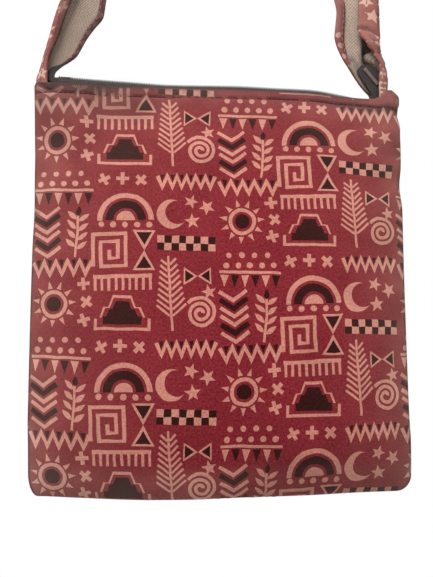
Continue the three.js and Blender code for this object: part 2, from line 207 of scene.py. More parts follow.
def twillTape():
    material, tree = newMaterial("cotton_twill_tape")
    cloth = addNode(tree, "UVMap", uv_map="cloth")["UV"]
    axes = addNode(tree, "SeparateXYZ", {0: cloth})
    ribs = []
    for operation, width in (("ADD", twill["rib"]), ("SUBTRACT", twill["weft"])):
        slant = addNode(tree, "Math", {0: axes["X"], 1: axes["Y"]}, operation=operation)[0]
        turn = addNode(tree, "Math", {0: slant, 1: fullTurn / width}, operation="MULTIPLY")[0]
        ribs.append(addNode(tree, "Math", {0: turn}, operation="SINE")[0])
    rib = addNode(tree, "Math", {0: ribs[1], 1: 0.5, 2: ribs[0]}, operation="MULTIPLY_ADD")[0]
    grain = addNode(tree, "TexNoise", {"Vector": cloth, "Scale": 1 / twill["grain"], "Detail": 3.0})["Fac"]
    patch = addNode(tree, "TexNoise", {"Vector": cloth, "Scale": 1 / twill["patch"], "Detail": 2.0})["Fac"]
    # the rib's two sides are painted darker and lighter, a painted shade and highlight over a weak bump
    shade = addNode(tree, "Math", {0: rib, 1: twill["ribTone"], 2: grain}, operation="MULTIPLY_ADD")[0]
    sides = {6: linear(twill["darkSide"]), 7: linear(twill["lightSide"])}
    colour = addNode(tree, "Mix", {"Factor": shade, **sides}, data_type="RGBA", clamp_factor=True)[2]
    tone = addNode(tree, "MapRange", {"Value": patch, **noiseSpan, **twill["patchTone"]})[0]
    toned = addNode(tree, "HueSaturation", {"Color": colour, "Value": tone})[0]
    # painted shade and painted shadow: the attribute read here darkens the tape along its hems, in its folds
    # and near the bag
    painted_shade = addNode(tree, "Attribute", attribute_name="painted_shade")["Fac"]
    shaded = addNode(tree, "Mix", {"Factor": painted_shade, 6: toned, 7: linear(twill["shadeTone"])}, data_type="RGBA")[2]
    height = addNode(tree, "Math", {0: rib, 1: grain}, operation="ADD")[0]
    bump = addNode(tree, "Bump", {"Strength": 0.2, "Distance": twill["ribDepth"] * mm, "Height": height})[0]
    finish = {
        "Base Color": shaded,
        "Roughness": 0.92,
        "Specular IOR Level": 0.2,
        "Sheen Weight": 0.15,
        "Normal": bump,
    }
    shader = addNode(tree, "BsdfPrincipled", finish)[0]
    addNode(tree, "OutputMaterial", {"Surface": shader})
    return material


# Spun and woven polyester, nylon and cotton thread: charcoal, dark red or mauve, with fine ribs whose lit
# and shaded sides are painted lighter and darker, a painted highlight and shade over a small bump.
fibre = {"grain": 0.8, "ribDepth": 0.15, "ribTone": 0.28}


def ribbedFibre(name, darkSide, lightSide, roughness, ribWidth):
    material, tree = newMaterial(name)
    place = addNode(tree, "TexCoord")["Object"]
    axes = addNode(tree, "SeparateXYZ", {0: place})
    turn = addNode(tree, "Math", {0: axes["X"], 1: fullTurn / (ribWidth * mm)}, operation="MULTIPLY")[0]
    rib = addNode(tree, "Math", {0: turn}, operation="SINE")[0]
    fineness = 1 / (fibre["grain"] * mm)
    grain = addNode(tree, "TexNoise", {"Vector": place, "Scale": fineness, "Detail": 2.0})["Fac"]
    shade = addNode(tree, "Math", {0: rib, 1: fibre["ribTone"], 2: grain}, operation="MULTIPLY_ADD")[0]
    sides = {6: linear(darkSide), 7: linear(lightSide)}
    colour = addNode(tree, "Mix", {"Factor": shade, **sides}, data_type="RGBA", clamp_factor=True)[2]
    bump = addNode(tree, "Bump", {"Strength": 0.4, "Distance": fibre["ribDepth"] * mm, "Height": rib})[0]
    finish = {"Base Color": colour, "Roughness": roughness, "Specular IOR Level": 0.35, "Normal": bump}
    shader = addNode(tree, "BsdfPrincipled", finish)[0]
    addNode(tree, "OutputMaterial", {"Surface": shader})
    return material


# Die-cast zinc under black enamel: satin, with the metal rubbed through in places.
zinc = {"rub": 3, "enamel": "#2A2726", "rubbed": "#56524F", "roughness": {"To Min": 0.28, "To Max": 0.5}}


def enamelledZinc():
    material, tree = newMaterial("black_enamelled_zinc")
    place = addNode(tree, "TexCoord")["Object"]
    rub = addNode(tree, "TexNoise", {"Vector": place, "Scale": 1 / (zinc["rub"] * mm), "Detail": 4.0})["Fac"]
    sides = {6: linear(zinc["enamel"]), 7: linear(zinc["rubbed"])}
    colour = addNode(tree, "Mix", {"Factor": rub, **sides}, data_type="RGBA")[2]
    rough = addNode(tree, "MapRange", {"Value": rub, **noiseSpan, **zinc["roughness"]})[0]
    shader = addNode(tree, "BsdfPrincipled", {"Base Color": colour, "Roughness": rough, "Metallic": 0.6})[0]
    addNode(tree, "OutputMaterial", {"Surface": shader})
    return material


inks = [
    printedCotton("cotton_red_ground", "#6C121C", "#932F38", "#9E6A62"),
    printedCotton("cotton_cream_ink", "#D99482", "#B97063", "#D2AC9C"),
    printedCotton("cotton_dark_ink", "#250A09", "#3E1513", "#66524B"),
]
ground, cream, dark = 0, 1, 2
tapeMaterial = twillTape()
zipTapeMaterial = ribbedFibre("woven_polyester_zip_tape", "#241F1F", "#443C3B", 0.85, 1.3)
# the legs and the underside of the coil are the same nylon drawn lighter: a painted highlight where the loops
# catch the light
legHighlightMaterial = ribbedFibre("nylon_coil_legs_painted_highlight", "#38302D", "#64574F", 0.75, 0.8)
coilUndersideHighlightMaterial = ribbedFibre("nylon_coil_underside_painted_highlight", "#6A5852", "#927D73", 0.7, 0.8)
coilMaterial = ribbedFibre("nylon_coil", "#302624", "#57463F", 0.6, 0.8)
threadMaterial = ribbedFibre("cotton_sewing_thread", "#2A1414", "#472322", 0.85, 0.5)
strapThreadMaterial = ribbedFibre("cotton_thread_mauve", "#83524C", "#A06E66", 0.85, 0.5)
sliderMaterial = enamelledZinc()
print("stage: materials made")


def polar(radius, angle):
    return radius * math.cos(angle), radius * math.sin(angle)


# The print: geometric motifs, each a list of (ink, outline) round its own middle, in mm.
def disc(x, y, radius, points=22):
    turns = [fullTurn * i / points for i in range(points)]
    return [(x + radius * math.cos(a), y + radius * math.sin(a)) for a in turns]


# a stroke of one width along a line of points
def stroke(line, width):
    sides = ([], [])
    for i, (x, y) in enumerate(line):
        ax, ay = line[max(0, i - 1)]
        bx, by = line[min(len(line) - 1, i + 1)]
        ahead = Vector((bx - ax, by - ay)).normalized()
        reach = width / 2
        if 0 < i < len(line) - 1:
            first = Vector((x - ax, y - ay)).normalized()
            reach /= max(0.5, abs(first.dot(ahead)))
        sides[0].append((x - ahead.y * reach, y + ahead.x * reach))
        sides[1].append((x + ahead.y * reach, y - ahead.x * reach))
    return sides[1] + sides[0][::-1]


def sunburst(radius):
    rays, near, half = 11, radius * 0.68, 0.16
    shapes = []
    for i in range(rays):
        a = fullTurn * i / rays
        shapes.append((cream, [polar(near, a - half), polar(radius, a), polar(near, a + half)]))
    for share, ink in ((0.6, cream), (0.44, ground), (0.32, dark)):
        shapes.append((ink, disc(0, 0, radius * share)))
    return shapes


def plusSign(size):
    arm, half = size / 2, size * 0.15
    outline = []
    for c, s in ((1, 0), (0, 1), (-1, 0), (0, -1)):
        outline += [(x * c - y * s, x * s + y * c) for x, y in ((half, half), (half, arm), (-half, arm))]
    return [(cream, outline)]


def zigzag(width, height, teeth):
    step = width / teeth
    line = [(-width / 2 + i * step / 2, (-height / 2 if i % 2 else height / 2)) for i in range(2 * teeth + 1)]
    shapes = [(cream, stroke(line, 2.4))]
    top, half = height * 0.62, step * 0.22
    for i in range(teeth):
        x = -width / 2 + (i + 0.5) * step
        shapes.append((dark, [(x - half, top), (x, -height * 0.02), (x + half, top)]))
    return shapes


def chevrons(width, height, count):
    shapes = []
    for i in range(count):
        y = -height / 2 + height * i / count
        line = [(-width / 2, y + width * 0.34), (0, y), (width / 2, y + width * 0.34)]
        ink, thick = (dark, 3.2) if i % 3 == 1 else (cream, 2.2)
        shapes.append((ink, stroke(line, thick)))
    return shapes


def leaf(x, y, length, wide, angle):
    half = 8
    outline = []
    for i in range(2 * half):
        t = i / half if i <= half else 2 - i / half
        side = 1 if i <= half else -1
        outline.append((length * t, side * wide / 2 * math.sin(math.pi * t**0.85)))
    c, s = math.cos(angle), math.sin(angle)
    return [(x + a * c - b * s, y + a * s + b * c) for a, b in outline]


def sprig(height):
    long, wide, lean = height * 0.26, height * 0.1, 0.7
    shapes = [(cream, stroke([(0, -height / 2), (0.6, 0), (0, height * 0.36)], 1.5))]
    for i in range(4):
        y = -height * 0.34 + i * height * 0.19
        shapes.append((cream, leaf(0.9, y, long, wide, lean)))
        shapes.append((cream, leaf(-0.5, y + 1.2, long, wide, math.pi - lean)))
    shapes.append((dark, leaf(0.2, height * 0.34, height * 0.2, height * 0.11, math.pi / 2)))
    return shapes


def bunting(width, height, count):
    step = width / count
    shapes = [(cream, stroke([(-width / 2, height / 2), (width / 2, height / 2)], 1.7))]
    top, half = height / 2 - 1.8, step * 0.4
    for i in range(count):
        x = -width / 2 + (i + 0.5) * step
        shapes.append((dark if i % 2 else cream, [(x - half, top), (x, -height / 2), (x + half, top)]))
    return shapes


def dots(count, gap, radius):
    return [(cream, disc((i - (count - 1) / 2) * gap, 0, radius, 12)) for i in range(count)]


def stepped(width, height, steps, inset):
    w, h = width / 2 - inset, height - 2 * inset
    foot = -height / 2 + inset
    outline = [(-w, foot), (w, foot)]
    for i in range(steps):
        y = foot + h * (i + 1) / steps
        outline.append((w * (1 - i / steps), y))
        if i < steps - 1:
            outline.append((w * (1 - (i + 1) / steps) + w / steps * 0.45, y))
    return outline + [(-x, y) for x, y in outline[:1:-1]]


def ziggurat(width, height):
    return [
        (cream, stepped(width, height, 3, 0.0)),
        (ground, stepped(width, height, 3, 1.8)),
        (dark, stepped(width * 0.68, height * 0.66, 3, 0.0)),
    ]


def comb(width, height, teeth):
    shapes = [(cream, stroke([(-width / 2, height / 2), (width / 2, height / 2)], 2.4))]
    for i in range(teeth):
        x = -width / 2 + 1.2 + i * (width - 2.4) / (teeth - 1)
        shapes.append((cream, stroke([(x, height / 2 - 0.5), (x, -height / 2)], 1.7)))
    return shapes


def meander(size):
    h, gap = size / 2, size / 4.2
    near, far = -h + gap, h - gap
    line = [(-h, -h), (-h, h), (h, h), (h, -h), (near, -h)]
    line += [(near, far), (far, far), (far, near), (0, near), (0, 0)]
    return [(cream, stroke(line, 2.3))]


def hourglass(width, height):
    shapes = []
    for way in (1, -1):
        for share, ink in ((1.0, cream), (0.68, dark)):
            w, top = width / 2 * share, way * (height / 2 - (1 - share) * height * 0.16)
            foot = way * (height * (1 - share) * 0.42)
            corner = [(-w, top), (0, foot), (w, top)]
            shapes.append((ink, corner if way > 0 else corner[::-1]))
    return shapes


def archway(radius):
    half = [math.pi * i / 14 for i in range(15)]
    shapes = []
    for share, ink in ((1.0, cream), (0.82, ground), (0.72, dark), (0.44, ground), (0.33, cream)):
        r = radius * share
        shapes.append((ink, [(r * math.cos(a), r * math.sin(a) - radius / 2) for a in half]))
    return shapes


def feather(height, width):
    shapes = [(cream, stroke([(0, -height / 2), (0, height / 2)], 1.5))]
    count = 9
    for i in range(count):
        y = -height * 0.3 + i * height * 0.085
        reach = width / 2 * (1 - 0.55 * i / count)
        for way in (1, -1):
            shapes.append((cream, stroke([(way * 0.9, y), (way * reach, y + reach * 0.75)], 1.4)))
    return shapes


def spiral(radius):
    turns, steps = 2.4, 45
    line = []
    for i in range(steps + 1):
        line.append(polar(radius * (0.12 + 0.88 * i / steps), fullTurn * turns * i / steps))
    return [(cream, stroke(line, 2.1))]


def checker(width, height, columns):
    cell, half = width / columns, height / 2
    shapes = []
    for row in range(2):
        for column in range(columns):
            x, y = -width / 2 + column * cell, -half + row * half
            ink = cream if (row + column) % 2 else dark
            shapes.append((ink, [(x, y), (x + cell, y), (x + cell, y + half), (x, y + half)]))
    return shapes


def star(radius):
    turns = [math.pi / 2 + math.pi * i / 5 for i in range(10)]
    return [(cream, [polar(radius * 0.42 if i % 2 else radius, a) for i, a in enumerate(turns)])]


def crescent(radius):
    outer = [polar(radius, math.radians(60 + 15 * i)) for i in range(17)]
    hollow = [polar(radius * 0.82, math.radians(288 - 14.4 * i)) for i in range(16)]
    return [(cream, outer + [(radius * 0.42 + x, y) for x, y in hollow])]


# one repeat of the print, in mm; every second column of repeats is dropped by half its height
repeat = {"width": 116, "height": 104, "edgePiece": 4, "waves": 0.16, "wander": 0.5}
motifs = [
    (sunburst(14.5), 15, 17, 0.1),
    (plusSign(8), 34, 7.5, 0.3),
    (plusSign(8), 35.5, 18.5, 0.9),
    (plusSign(8), 33.5, 29.5, 0.1),
    (zigzag(38, 8, 5), 19.5, 39.5, 0.02),
    (chevrons(17, 30, 6), 9.5, 61.5, 0.05),
    (sprig(31), 28.5, 61.5, -0.06),
    (bunting(38, 9.5, 6), 19.5, 84, -0.02),
    (dots(5, 7.4, 1.9), 19.5, 93, 0.0),
    (dots(4, 8, 1.8), 18.5, 99.4, 0.0),
    (ziggurat(34, 21), 57.5, 12, 0.0),
    (comb(36, 8.5, 9), 57.5, 30, 0.03),
    (meander(20), 49, 50.5, 0.04),
    (hourglass(14, 25), 70.3, 50.5, 0.0),
    (dots(5, 7.4, 1.9), 58.5, 66.4, 0.0),
    (archway(17.5), 58.5, 78, 0.03),
    (plusSign(8), 45, 95.6, 0.5),
    (plusSign(8), 56.5, 96.4, 0.0),
    (plusSign(8), 68, 95.6, 0.8),
    (feather(46, 18), 86.5, 24, 0.06),
    (spiral(9.8), 105, 12, 0.0),
    (hourglass(11, 17), 103, 34.5, 1.57),
    (star(4.8), 110, 24.6, 0.2),
    (checker(36, 9, 8), 96.2, 54.8, -0.03),
    (crescent(9.4), 87, 73.5, 0.3),
    (star(5.2), 100, 69, 0.1),
    (star(5.2), 109, 78, 0.5),
    (star(4.8), 99, 81.6, 0.9),
    (zigzag(36, 7.4, 6), 96.2, 94.6, 0.0),
]


# the hand that drew the print: edges wander by a fraction of a millimetre
def drawn(outline):
    points = []
    for i, (x, y) in enumerate(outline):
        nextX, nextY = outline[(i + 1) % len(outline)]
        pieces = max(1, int(math.hypot(nextX - x, nextY - y) / repeat["edgePiece"]))
        for j in range(pieces):
            px, py = mix(x, nextX, j / pieces), mix(y, nextY, j / pieces)
            push = noise.noise_vector((px * repeat["waves"], py * repeat["waves"], 4.2)) * repeat["wander"]
            points.append((px + push.x, py + push.y))
    return points


# every outline of the print that falls in an area of cloth
def printOver(low, high, shift):
    shapes = []
    spans = []
    for axis, size in enumerate((repeat["width"], repeat["height"])):
        first = math.floor((low[axis] - shift[axis]) / size) - 1
        spans.append(range(first, math.ceil((high[axis] - shift[axis]) / size) + 1))
    for column in spans[0]:
        for row in spans[1]:
            left = shift[0] + column * repeat["width"]
            foot = shift[1] + (row + 0.5 * (column % 2)) * repeat["height"]
            for motif, x, y, angle in motifs:
                c, s = math.cos(angle), math.sin(angle)
                for ink, outline in motif:
                    placed = [(left + x + a * c - b * s, foot + y + a * s + b * c) for a, b in outline]
                    xs, ys = zip(*placed)
                    if min(xs) > high[0] or max(xs) < low[0] or min(ys) > high[1] or max(ys) < low[1]:
                        continue
                    shapes.append((ink, drawn(placed)))
    return shapes


# cuts a flat piece of cloth into triangles along the print and the bends, so that each triangle takes one ink
def cutCloth(outline, inner, shift, bends=()):
    xs, ys = zip(*outline)
    shapes = [(ground, outline)] + printOver((min(xs), min(ys)), (max(xs), max(ys)), shift)
    points, loops = [], []
    for ink, shape in shapes:
        area = sum(a[0] * b[1] - b[0] * a[1] for a, b in zip(shape, shape[1:] + shape[:1]))
        shape = shape if area > 0 else shape[::-1]
        loops.append(list(range(len(points), len(points) + len(shape))))
        points += shape
    points += inner
    edges = []
    for bend in bends:
        edges += [(len(points) + i, len(points) + i + 1) for i in range(len(bend) - 1)]
        points += bend
    insideOnly, nearness = 1, 1e-4
    corners = [Vector(p) for p in points]
    flat, _, faces, _, _, sources = delaunay_2d_cdt(corners, edges, loops, insideOnly, nearness)
    kept = [(list(face), max(source)) for face, source in zip(faces, sources) if 0 in source]
    used = sorted({i for face, _ in kept for i in face})
    renumber = {old: new for new, old in enumerate(used)}
    cut = [tuple(flat[i]) for i in used]
    return cut, [[renumber[i] for i in face] for face, _ in kept], [shapes[top][0] for _, top in kept]


def addObject(name, data):
    made = bpy.data.objects.new(name, data)
    bpy.context.scene.collection.objects.link(made)
    return made


# a closed wall of cloth: an outer and an inner sheet of the same triangles, joined round their edge
def sewWall(name, flat, faces, faceInks, place, markingsAt, edgeSteps):
    count = len(flat)
    points = [place(u, v, 0.0) for u, v in flat] + [place(u, v, 1.0) for u, v in flat]
    owners = list(range(count)) * 2
    edges = {(a, b) for face in faces for a, b in zip(face, face[1:] + face[:1])}
    rim = sorted((a, b) for a, b in edges if (b, a) not in edges)
    columns, quads = {}, []
    for a, b in rim:
        for i in (a, b):
            if i not in columns:
                between = list(range(len(points), len(points) + edgeSteps - 1))
                points += [place(flat[i][0], flat[i][1], j / edgeSteps) for j in range(1, edgeSteps)]
                owners += [i] * (edgeSteps - 1)
                columns[i] = [i] + between + [count + i]
        for j in range(edgeSteps):
            quads.append([columns[b][j], columns[a][j], columns[a][j + 1], columns[b][j + 1]])
    mesh = bpy.data.meshes.new(name)
    inside = [[i + count for i in face[::-1]] for face in faces]
    mesh.from_pydata([Vector(p) * mm for p in points], [], faces + inside + quads)
    layer = mesh.uv_layers.new(name="cloth")
    corners = [0] * len(mesh.loops)
    mesh.loops.foreach_get("vertex_index", corners)
    layer.data.foreach_set("uv", [part for i in corners for part in flat[owners[i]]])
    # the layers laid over the cloth: how pale it is drawn, part real fading and part painted sheen, and how
    # much shade is painted into it
    for kind, marking in markingsAt.items():
        layer = mesh.attributes.new(kind, "FLOAT", "POINT")
        worn = [marking(u, v) for u, v in flat]
        layer.data.foreach_set("value", [worn[i] for i in owners])
    for ink in inks:
        mesh.materials.append(ink)
    mesh.polygons.foreach_set("material_index", faceInks + [ground] * (len(faces) + len(quads)))
    mesh.polygons.foreach_set("use_smooth", [True] * len(mesh.polygons))
    mesh.update()
    return addObject(name, mesh)


# selects the pieces and nothing else; the first one is active
def selectOnly(*pieces):
    bpy.ops.object.select_all(action="DESELECT")
    for piece in pieces:
        piece.select_set(True)
    bpy.context.view_layer.objects.active = pieces[0]


# a closed strip of cloth or webbing on a plain grid: place(u, v, w) with u, v and w from 0 to 1
def wovenStrip(name, columns, rows, place, material, flat, shadeAt=None):
    points, uvs, index = [], [], {}
    for k in range(2):
        for i in range(columns + 1):
            for j in range(rows + 1):
                index[i, j, k] = len(points)
                points.append(place(i / columns, j / rows, float(k)))
                uvs.append((flat[0] * i / columns, flat[1] * j / rows))
    faces = []
    for i in range(columns):
        for j in range(rows):
            faces.append([index[i, j, 0], index[i, j + 1, 0], index[i + 1, j + 1, 0], index[i + 1, j, 0]])
            faces.append([index[i, j, 1], index[i + 1, j, 1], index[i + 1, j + 1, 1], index[i, j + 1, 1]])
    for i in range(columns):
        for j in (0, rows):
            faces.append([index[i, j, 0], index[i + 1, j, 0], index[i + 1, j, 1], index[i, j, 1]])
    for j in range(rows):
        for i in (0, columns):
            faces.append([index[i, j, 0], index[i, j, 1], index[i, j + 1, 1], index[i, j + 1, 0]])
    mesh = bpy.data.meshes.new(name)
    mesh.from_pydata([Vector(p) * mm for p in points], [], faces)
    layer = mesh.uv_layers.new(name="cloth")
    for loop in mesh.loops:
        layer.data[loop.index].uv = uvs[loop.vertex_index]
    # shade painted into the strip's colour, where a function for it is given
    if shadeAt:
        painted_shade = mesh.attributes.new("painted_shade", "FLOAT", "POINT")
        painted_shade.data.foreach_set("value", [shadeAt(u, v) for u, v in uvs])
    mesh.materials.append(material)
    made = addObject(name, mesh)
    selectOnly(made)
    bpy.ops.object.mode_set(mode="EDIT")
    bpy.ops.mesh.select_all(action="SELECT")
    bpy.ops.mesh.normals_make_consistent(inside=False)
    bpy.ops.object.mode_set(mode="OBJECT")
    bpy.ops.object.shade_smooth_by_angle(angle=math.radians(40))
    return made


# copies one small piece to many places, each copy with its own mesh, and joins them
def copyTo(source, places, name):
    copies = []
    for place in places:
        mesh = source.data.copy()
        mesh.transform(place)
        copies.append(addObject(source.name, mesh))
    bpy.data.objects.remove(source)
    selectOnly(*copies)
    bpy.ops.object.join()
    copies[0].name = name
    return copies[0]


# the place of a small piece that lies along X from one point to another, with its Z looking out
def stitchPlace(before, after, out):
    along = (after - before).normalized()
    up = (out - along * out.dot(along)).normalized()
    turn = Matrix((along, up.cross(along), up)).transposed().to_4x4()
    return Matrix.Translation((before + after) / 2 * mm) @ turn


# The pouch: the rows of its solids, in mm, with the hem, the puckers at the seams and the slack of the cloth.
pouch = {
    "width": 240,
    "height": 259,
    "wall": 1.6,
    "seamGap": 0.1,
    "corner": {"inLeft": {"wide": 6, "tall": 14}, "inRight": {"wide": 9, "tall": 9}},
    "bottomSag": 3.5,
    "bottomRound": 72,
    "hemProud": 0.4,
    "hemCrown": 0.8,
    "sagPower": 4.4,
    "stitchSink": 0.75,
    "puckerPitch": 23,
    "pucker": 0.8,
    "slack": 0.9,
    # how pale the cloth is drawn, partly real fading and partly painted sheen where it turns away, each with
    # the distance over which that fades out
    "fade_and_sheen": {
        "seam": (0.42, 2.5),
        "left": (0.44, 34),
        "right": (0.62, 21),
        "hem": (0.2, 8),
        "belowHem": (0.2, 48),
        "corner": (0.3, 26),
        "lowLeft": (0.26, 28),
        "bottom": (0.2, 2.5),
    },
    # how much shade is painted into the cloth at each place, and how much darker it is drawn below the hem on
    # the upper left
    "painted_shade": {
        "stitchLine": 0.6,
        "shadowBand": 0.7,
        "rim": 0.45,
        "upperLeft": 0.38,
        "bottom": (0.22, 6),
        "lowRight": 0.2,
    },
    "grid": 4.5,
    "rows": asRows(
        ("height", "front", "back", "shoulder", "wedge", "inLeft", "inRight"),
        (
            (0, 14, 12, 86, 0.64, 1.2, -1.2),
            (30, 16.2, 13.3, 85, 0.64, 0.6, -1.9),
            (45, 16.5, 13.5, 84, 0.64, 0.1, -1.3),
            (90, 16.5, 13.5, 80, 0.64, 0.3, -0.7),
            (150, 13, 11, 70, 0.62, 0.9, -0.3),
            (180, 10.6, 9.2, 56, 0.6, 1.8, -0.3),
            (198, 9, 8, 46, 0.58, 1.6, 1.3),
            (212, 7.9, 7.3, 35, 0.55, 1.6, 0.0),
            (224, 7, 6.6, 26, 0.53, 1.2, -0.2),
            (240, 6, 5.9, 12, 0.51, 0.8, 0.0),
            (247, 5.6, 5.6, 9, 0.5, 0.6, 1.9),
            (259, 5.2, 5.2, 8, 0.5, 0.2, 0.2),
        ),
    ),
    # the hem from left to right: how far it sags, how far below its edge it is stitched, and how much shade is
    # painted on it below the zip
    "hem": asRows(
        ("side", "sag", "stitch", "painted_shade"),
        (
            (-120, 0.8, 7.0, 0.3),
            (-112, 2.0, 5.9, 0.4),
            (-104, 2.3, 5.5, 0.68),
            (-84, 2.7, 5.8, 0.9),
            (-62, 3.0, 5.8, 0.62),
            (-32, 3.4, 5.5, 0.26),
            (20, 3.8, 4.8, 0.1),
            (45, 4.3, 4.7, 0.16),
            (60, 4.8, 4.8, 0.3),
            (79, 6.9, 5.3, 0.5),
            (88, 8.4, 4.9, 0.5),
            (96, 8.8, 5.2, 0.4),
            (106, 8.8, 6.3, 0.2),
            (120, 8.6, 7.7, 0.15),
        ),
    ),
    # how far the bottom hangs below its corners, from left to right
    "bottom": asRows(
        ("side", "sag"),
        (
            (-120, 0),
            (-110, 0.3),
            (-90, 1.6),
            (-45, 4),
            (-20, 4.3),
            (10, 3.7),
            (50, 3.2),
            (90, 1.9),
            (112, 1.5),
            (122, 0.8),
        ),
    ),
    # how far the right corner stands up over the hem, on the front and on the back
    "frontCorner": asRows(
        ("side", "rise"),
        (
            (101.5, 0),
            (104.2, 1),
            (106.2, 3.2),
            (108.2, 5.7),
            (110, 6.8),
            (111.6, 6.3),
            (113.8, 4.8),
            (116.4, 2.9),
            (120, 0.3),
        ),
    ),
    "backCorner": asRows(("side", "rise"), ((96, 0), (103, 3), (110, 7), (113, 5.6), (116, 3.6), (120, 0.3))),
    "ear": {"depth": 2.4, "innerSide": 72, "outerSide": 87, "lowest": 215, "full": 240},
    "frontFolds": asRows(
        ("fromX", "fromZ", "toX", "toZ", "width", "height"),
        (
            (-104, 252, -66, 172, 15, 1.6),
            (119, 246, 84, 236, 9, -1.8),
            (118, 200, 92, 208, 12, -1.8),
            (-118, 214, -94, 210, 10, -1.6),
            (-112, 16, -76, 52, 14, 1.4),
            (112, 16, 80, 50, 14, 1.2),
            (-60, 240, 40, 236, 18, -0.9),
        ),
    ),
    "backFolds": asRows(
        ("fromX", "fromZ", "toX", "toZ", "width", "height"),
        (
            (-104, 250, -72, 180, 16, 1.5),
            (104, 250, 70, 176, 16, 1.5),
            (-110, 18, -78, 50, 14, 1.2),
            (110, 18, 78, 52, 14, 1.2),
        ),
    ),
}
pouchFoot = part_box("front_panel")[0][2] / mm + pouch["bottomSag"]
cornerLevel = pouchFoot + pouch["height"]


def pouchRow(height, column):
    return readTable(pouch["rows"], "height", height, column)


def hemRow(x, column):
    return readTable(pouch["hem"], "side", x, column)


def sideSeam(column, height):
    corner = pouch["corner"][column]
    drop = max(0.0, 1 - height / corner["tall"])
    rounded = corner["wide"] * (1 - math.sqrt(1 - drop**2))
    return pouch["width"] / 2 - pouchRow(height, column) - rounded


def seamAt(x, height):
    return sideSeam("inLeft" if x < 0 else "inRight", height)


def foldHeight(folds, x, z):
    total = 0.0
    for fold in folds:
        fromX, fromZ = fold["fromX"], fold["fromZ"]
        runX, runZ = fold["toX"] - fromX, fold["toZ"] - fromZ
        near = clamp01(((x - fromX) * runX + (z - fromZ) * runZ) / (runX**2 + runZ**2))
        away = math.hypot(x - fromX - near * runX, z - fromZ - near * runZ) / fold["width"]
        total += fold["height"] * math.exp(-away * away * 2) * (1 - 0.5 * near)
    return total


# how far a panel stands out from the middle of the pouch
def pouchDepth(side, x, height, inset):
    top = pouch["height"]
    t = clamp01(inset / pouchRow(height, "shoulder"))
    across = (t * (2 - t)) ** pouchRow(height, "wedge")
    lift = clamp01(height / pouch["bottomRound"])
    ear = pouch["ear"]
    corner = ramp(abs(x), ear["innerSide"], ear["outerSide"]) * ramp(height, ear["lowest"], ear["full"])
    thick = pouchRow(height, side) + ear["depth"] * corner
    depth = thick * across * math.sqrt(lift * (2 - lift))
    held = ramp(inset, 0, 12) * ramp(height, 0, 16) * ramp(height, top - 6, top - 18)
    depth += foldHeight(pouch[side + "Folds"], x, height) * held
    # puckers beside the side seams, and slack in the middle
    drift = 3 * noise.noise((height * 0.02, 1.7 if x < 0 else 5.1, 0.0))
    beside = math.exp(-inset / 9) * ramp(inset, 0, 2.5) * ramp(height, 0, 20)
    depth += pouch["pucker"] * math.sin(fullTurn * height / pouch["puckerPitch"] + drift) * beside
    slack = noise.noise((x * 0.021, height * 0.018, 2.0 if side == "front" else 7.0))
    depth += pouch["slack"] * slack * ramp(inset, 0, 20) * ramp(height, 0, 25) * ramp(height, top, top - 25)
    # the hem stands proud, and the thread pulls its stitched line in
    above = height - top + hemRow(x, "stitch")
    depth += pouch["hemProud"] * ramp(above, -0.9, -0.1) * ramp(inset, 0, 2)
    pull = 1 + 0.35 * noise.noise((x * 0.09, 3.3, 0.5))
    return depth - pouch["stitchSink"] * pull * onLine(above, 0.8) * ramp(inset, 0, 2)


# how far the hem hangs below the level of its left corner
def hemDrop(side, x, height):
    drop = hemRow(x, "sag") * (height / pouch["height"]) ** pouch["sagPower"]
    corner = pouch[side + "Corner"]
    if x > corner[0]["side"]:
        drop -= readTable(corner, "side", x, "rise") * ramp(height, 250, 258)
    return drop


# a point of a panel in the frame: w is 0 on the outer face and 1 on the inner face
def panelPoint(side, x, height, w):
    wall, full = pouch["wall"], pouch["height"]
    seam = seamAt(x, height)
    insideX = x / seam * (seam - wall)
    outer = pouchDepth(side, x, height, max(0.0, seam - abs(x)))
    inner = pouchDepth(side, insideX, height, max(0.0, seam - wall - abs(insideX))) - wall
    depth = mix(outer, max(0.0, inner), w)
    crown = pouch["hemCrown"] * math.sin(math.pi * w) * ramp(height, full - 0.5, full)
    below = 1 - height / full
    bottom = readTable(pouch["bottom"], "side", x, "sag") * below**3
    z = pouchFoot + max(height, w * wall * below) - bottom - hemDrop(side, x, height) + crown
    away = -1 if side == "front" else 1
    return (mix(x, insideX, w), away * (pouch["seamGap"] / 2 + depth), z)


# 1 in the right half of the pouch, where the bottom is drawn less pale and with more painted shade
def lowRight(x):
    return ramp(x, -5, 35)


# an amount that falls off with the distance from where it is strongest: of fading and painted sheen, and of
# painted shade
def fallingOff(marking, distance):
    amount, reach = marking
    return amount * math.exp(-distance / reach)


# how pale the cloth is drawn, partly real fading and partly painted sheen where it turns away: at the side
# edges, below the hem, in three of its corners and along the bottom
def pouchFadeAndSheen(x, height):
    fade_and_sheen = pouch["fade_and_sheen"]
    inset = max(0.0, seamAt(x, height) - abs(x))
    edge = 1 - (1 - fallingOff(fade_and_sheen["seam"], inset)) * (1 - fallingOff(fade_and_sheen["left" if x < 0 else "right"], inset))
    below = max(0.0, pouch["height"] - hemRow(x, "stitch") - height)
    top = fallingOff(fade_and_sheen["hem"], below) + fallingOff(fade_and_sheen["belowHem"], below)
    corner = fallingOff(fade_and_sheen["corner"], below) * math.exp(-inset / 40)
    lowLeft = fallingOff(fade_and_sheen["lowLeft"], inset) * ramp(x, 0, -60) * ramp(height, 100, 40)
    foot = (0.3 - 0.14 * lowRight(x)) * ramp(height, 26, 12) + fallingOff(fade_and_sheen["bottom"], height)
    return 1 - (1 - edge) * (1 - top) * (1 - corner) * (1 - lowLeft) * (1 - foot)


